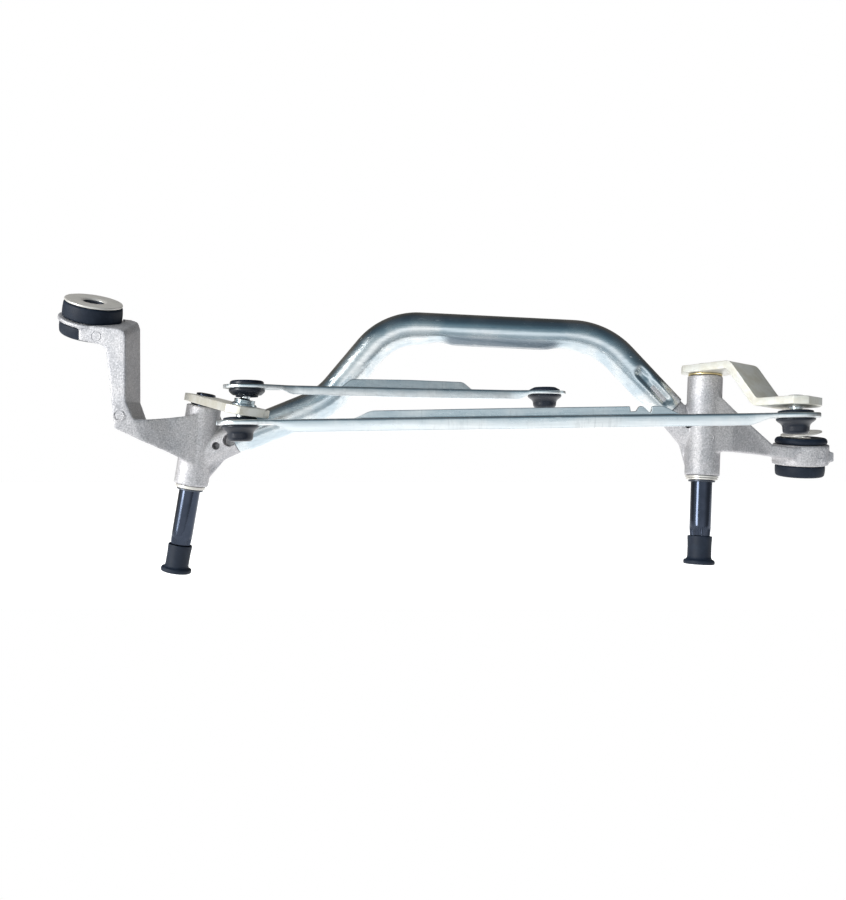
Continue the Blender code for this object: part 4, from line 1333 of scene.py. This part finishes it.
def build_long_link(shop: Workshop, place: Place, length: float) -> None:
    """Fits the long link, its two cups and its two seals."""
    link = Link(
        "long_link", Body.LONG_LINK, place, length, sheet=2.9, mid=2.1, waist=8.5,
        down=(4.9, 4.7, 4.3), up=(5.0, 5.5, 5.6), down_ends=(33.0, 310.5), up_ends=(80.0, 261.0),
        notches=((240.2, 240.9, 243.6, 246.6, 0.55), (247.6, 253.2, 253.3, 254.3, 0.7)),
    )
    link.build_rod(shop)
    for node, u, cavity in (("long_link_left_socket", 0.0, 5.6), ("long_link_right_socket", length, 6.1)):
        link.build_cup(shop, node, u, cavity)
    for node, u in (("long_link_left_seal", 0.0), ("long_link_right_seal", length)):
        link.build_seal(shop, node, u)


def build_short_link(shop: Workshop, place: Place, length: float = 199.2) -> None:
    """Fits the short link: a closed socket on the left, the free cup on the right."""
    link = Link(
        "short_link", Body.SHORT_LINK, place, length, sheet=2.1, mid=0.8, waist=7.5,
        down=(3.2, 4.0, 3.8), up=(5.6, 6.0, 5.4), down_ends=(26.0, 178.0), up_ends=(66.0, 143.0), ramp=8.0,
    )
    link.build_rod(shop)
    link.build_cup(shop, "short_link_right_socket", length, 5.2)
    link.build_seal(shop, "short_link_right_seal", length, 2.6)
    top, under, cavity = link.mid + link.sheet / 2, link.mid - link.sheet / 2 - 0.3, 4.4
    corners = [(0, top + 2.7), (9.2, top + 2.7, 0.8), (10.3, top + 1.9, 0.8), (10.3, top + 0.2, 0.3)]
    corners += [(8.0, top + 0.2, 0), (8.0, under, 0), (10.9, under, 0.3), (10.9, under - 1.6, 0.6)]
    corners += [(9.6, under - 3.0, 0.8), (8.6, under - 3.8, 0.4), (4.3, under - 3.8, 0.3)]
    corners += [(cavity, -2.0, 0.4), (cavity, 3.0, 0.8), (2.2, 4.4, 0.8), (0, 4.4)]
    socket = turned("short_link_closed_socket", filleted(corners, 0.3, 5), place, 96)
    shop.fit(socket, Body.SHORT_LINK, Look.PLASTIC, "short_link_left_socket")
    low, high = under - 4.9, under - 4.1
    lip = filleted([(4.0, low), (6.8, low), (6.8, high), (4.0, high)], 0.25, 4, closed=True)
    boot = turned("short_link_boot_ring", lip, place, 72)
    shop.fit(boot, Body.BOOT, Look.RUBBER, "short_link_left_seal")


# ------------------------------------------------------------------ stage


@dataclass
class Studio:
    """A pale floor, soft lights and the camera, sizes in metres."""

    eye: tuple[float, float, float] = (-0.022, -0.600, -0.044)
    lens: float = 35.3
    floor_z: float = -0.1336

    def floor(self) -> None:
        """A pale sheet under and behind the linkage."""
        points = [(x, y, self.floor_z) for x, y in ((-1.6, -0.1), (1.6, -0.1), (1.6, 1.8), (-1.6, 1.8))]
        mesh = bpy.data.meshes.new("floor")
        mesh.from_pydata(points, [], [(0, 1, 2, 3)])
        sheet = bpy.data.objects.new("floor", mesh)
        bpy.context.collection.objects.link(sheet)
        g = Finish("floor_paper")
        paper = g.mix(g.noise(3.0, 2.0) * 0.2, (0.55, 0.55, 0.55), (0.50, 0.50, 0.51))
        glow = {"Emission Color": (1.0, 1.0, 1.0, 1.0), "Emission Strength": 1.0}
        for key, value in glow.items():
            g.shader.inputs[key].default_value = value
        mesh.materials.append(g.surface(paper, 0.95, 0.0))

    def room(self) -> None:
        """World light: white to the eye, and to the linkage a room with a pale front and a dark ceiling.

        The light a surface receives from a direction d is a ramp of its height d.z, one ramp for the side in
        front and a browner one for the side behind, dimmed towards the right.
        """
        world = bpy.data.worlds.new("studio")
        world.use_nodes = True
        bpy.context.scene.world = world
        g = Graph(world.node_tree)
        x, y, z = g.axes("Generated")
        front = [(0.0, (0.95, 0.95, 0.95)), (0.07, (0.92, 0.93, 0.94)), (0.16, (0.55, 0.62, 0.66))]
        front += [(0.30, (0.55, 0.62, 0.66)), (0.38, (1.35, 1.36, 1.37)), (0.52, (1.35, 1.37, 1.38))]
        front += [(0.58, (0.45, 0.55, 0.60)), (0.75, (0.17, 0.26, 0.31)), (0.90, (0.07, 0.11, 0.14))]
        front += [(1.0, (0.06, 0.08, 0.10))]
        behind = [(0.0, (0.95, 0.95, 0.95)), (0.45, (0.90, 0.90, 0.90)), (0.52, (0.35, 0.33, 0.30))]
        behind += [(0.65, (0.17, 0.155, 0.135)), (1.0, (0.06, 0.06, 0.06))]
        height = z * 0.5 + 0.5
        ramps = [g.node("ShaderNodeValToRGB", {"stops": stops}, {"Fac": height}) for stops in (front, behind)]
        room = g.mix(y.between(-0.15, 0.35), *(Wire(g, ramp.outputs[0]) for ramp in ramps))
        room = g.mix(x.between(0.2, 0.95) * 0.75, room, (0.05, 0.05, 0.055))
        seen = Wire(g, g.node("ShaderNodeLightPath").outputs["Is Camera Ray"])
        g.feed(world.node_tree.nodes["Background"].inputs["Color"], g.mix(seen, room, (1.0, 1.0, 1.0)))

    def lamp(
        self,
        name: str,
        at: Sequence[float],
        size: Point,
        power: float,
        shine: bool,
        colour: Colour = (1, 1, 1),
    ) -> None:
        """A soft box that faces the linkage; without shine it lights matt surfaces but isn't mirrored."""
        light = bpy.data.lights.new(name, "AREA")
        light.shape, light.size, light.size_y = "RECTANGLE", *size
        light.energy, light.color = power, colour
        lamp = bpy.data.objects.new(name, light)
        lamp.location = at
        lamp.rotation_euler = (Vector((0, 0, -0.02)) - Vector(at)).to_track_quat("-Z", "Y").to_euler()
        lamp.visible_glossy = shine
        bpy.context.collection.objects.link(lamp)

    def build(self) -> None:
        """Sets floor, world, lights, camera and a plain tone curve."""
        self.floor()
        self.room()
        self.lamp("key", (-1.5, -1.1, 0.35), (0.7, 1.1), 34.0, True, (1.0, 0.99, 0.97))
        self.lamp("front", (0.1, -1.8, 0.9), (1.2, 0.6), 5.0, False)
        self.lamp("top", (-0.3, 0.2, 1.6), (1.8, 1.2), 20.0, False)
        camera = bpy.data.objects.new("camera", bpy.data.cameras.new("camera"))
        camera.location = self.eye
        camera.rotation_euler = (math.radians(90), 0, 0)
        camera.data.lens = self.lens
        camera.data.clip_start = 0.01
        bpy.context.collection.objects.link(camera)
        scene = bpy.context.scene
        scene.camera = camera
        scene.view_settings.view_transform = "Standard"


# ------------------------------------------------------------------ assembly


def centre(node: str) -> np.ndarray:
    """The middle of a CAD node's box, in millimetres."""
    low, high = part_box(node)
    return (np.array(low) + np.array(high)) / 2 / MM


def build_linkage(frame: dict, shop: Workshop) -> None:
    """Builds every sub-assembly in its own place."""
    layout = Layout(frame["record"])
    lower_ball, _ = layout.joint("long_link_ball")
    upper_ball, _ = layout.joint("short_link_ball")
    right_cup = centre("long_link_right_socket")
    right_axis = layout.joint("right_pivot")[1]
    left = layout.pivot("left_pivot", lower_ball)
    right = layout.pivot("right_pivot", right_cup + right_axis * 5.0)
    left_mount = layout.mount("left_grommet_panel_face", 13.0, -9.8)
    right_mount = layout.mount("right_grommet_panel_face", 12.0, -15.4)
    tube = FrameTube()
    tube.build(shop)
    ends = (tube.left_end, tube.corners[0][:2]), (tube.right_end, tube.corners[-1][:2])
    LeftCasting("left", left, left_mount, LEFT_HOUSING_END, *ends[0], 28.4).build(shop)
    RightCasting("right", right, right_mount, RIGHT_HOUSING_END, *ends[1], 34.7).build(shop)
    LeftMount(left_mount).build(shop)
    RightMount(right_mount).build(shop)
    arms = ArmShape(12.5, 14.1), ArmShape(14.0, 13.0, drop=RIGHT_CRANK_DROP)
    Crank("left", Body.LEFT_CRANK, left, arms[0], LEFT_HOUSING_END, -100.3).build(shop)
    Crank("right", Body.RIGHT_CRANK, right, arms[1], RIGHT_HOUSING_END, -112.0).build(shop)
    BallStuds(left, right).build(shop)
    right_ball = right.moved(x=CRANK_RADIUS, z=RIGHT_BALL - RIGHT_CRANK_DROP).origin
    reach = right_ball - lower_ball
    across = Place.along(lower_ball, (0, 0, 1), reach).y
    link = Place.along(lower_ball, np.cross(reach, across), reach)
    build_long_link(shop, link, float(np.linalg.norm(reach)))
    free_cup = centre("short_link_right_socket")
    build_short_link(shop, Place.along(upper_ball, (0, 0, 1), free_cup - upper_ball))
    nodes = frame["nodes"]
    bushes = [f"{side}_{end}_bush" for side in ("left", "right") for end in ("upper", "lower")]
    shop.keep(nodes, Look.BRONZE, *bushes)


def main() -> None:
    """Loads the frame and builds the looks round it."""
    logging.basicConfig(level=logging.INFO, format="%(message)s")
    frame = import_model()
    shop = Workshop()
    build_linkage(frame, shop)
    Studio().build()
    LOG.info("%d pieces", shop.count)


if __name__ == "__main__":
    main()
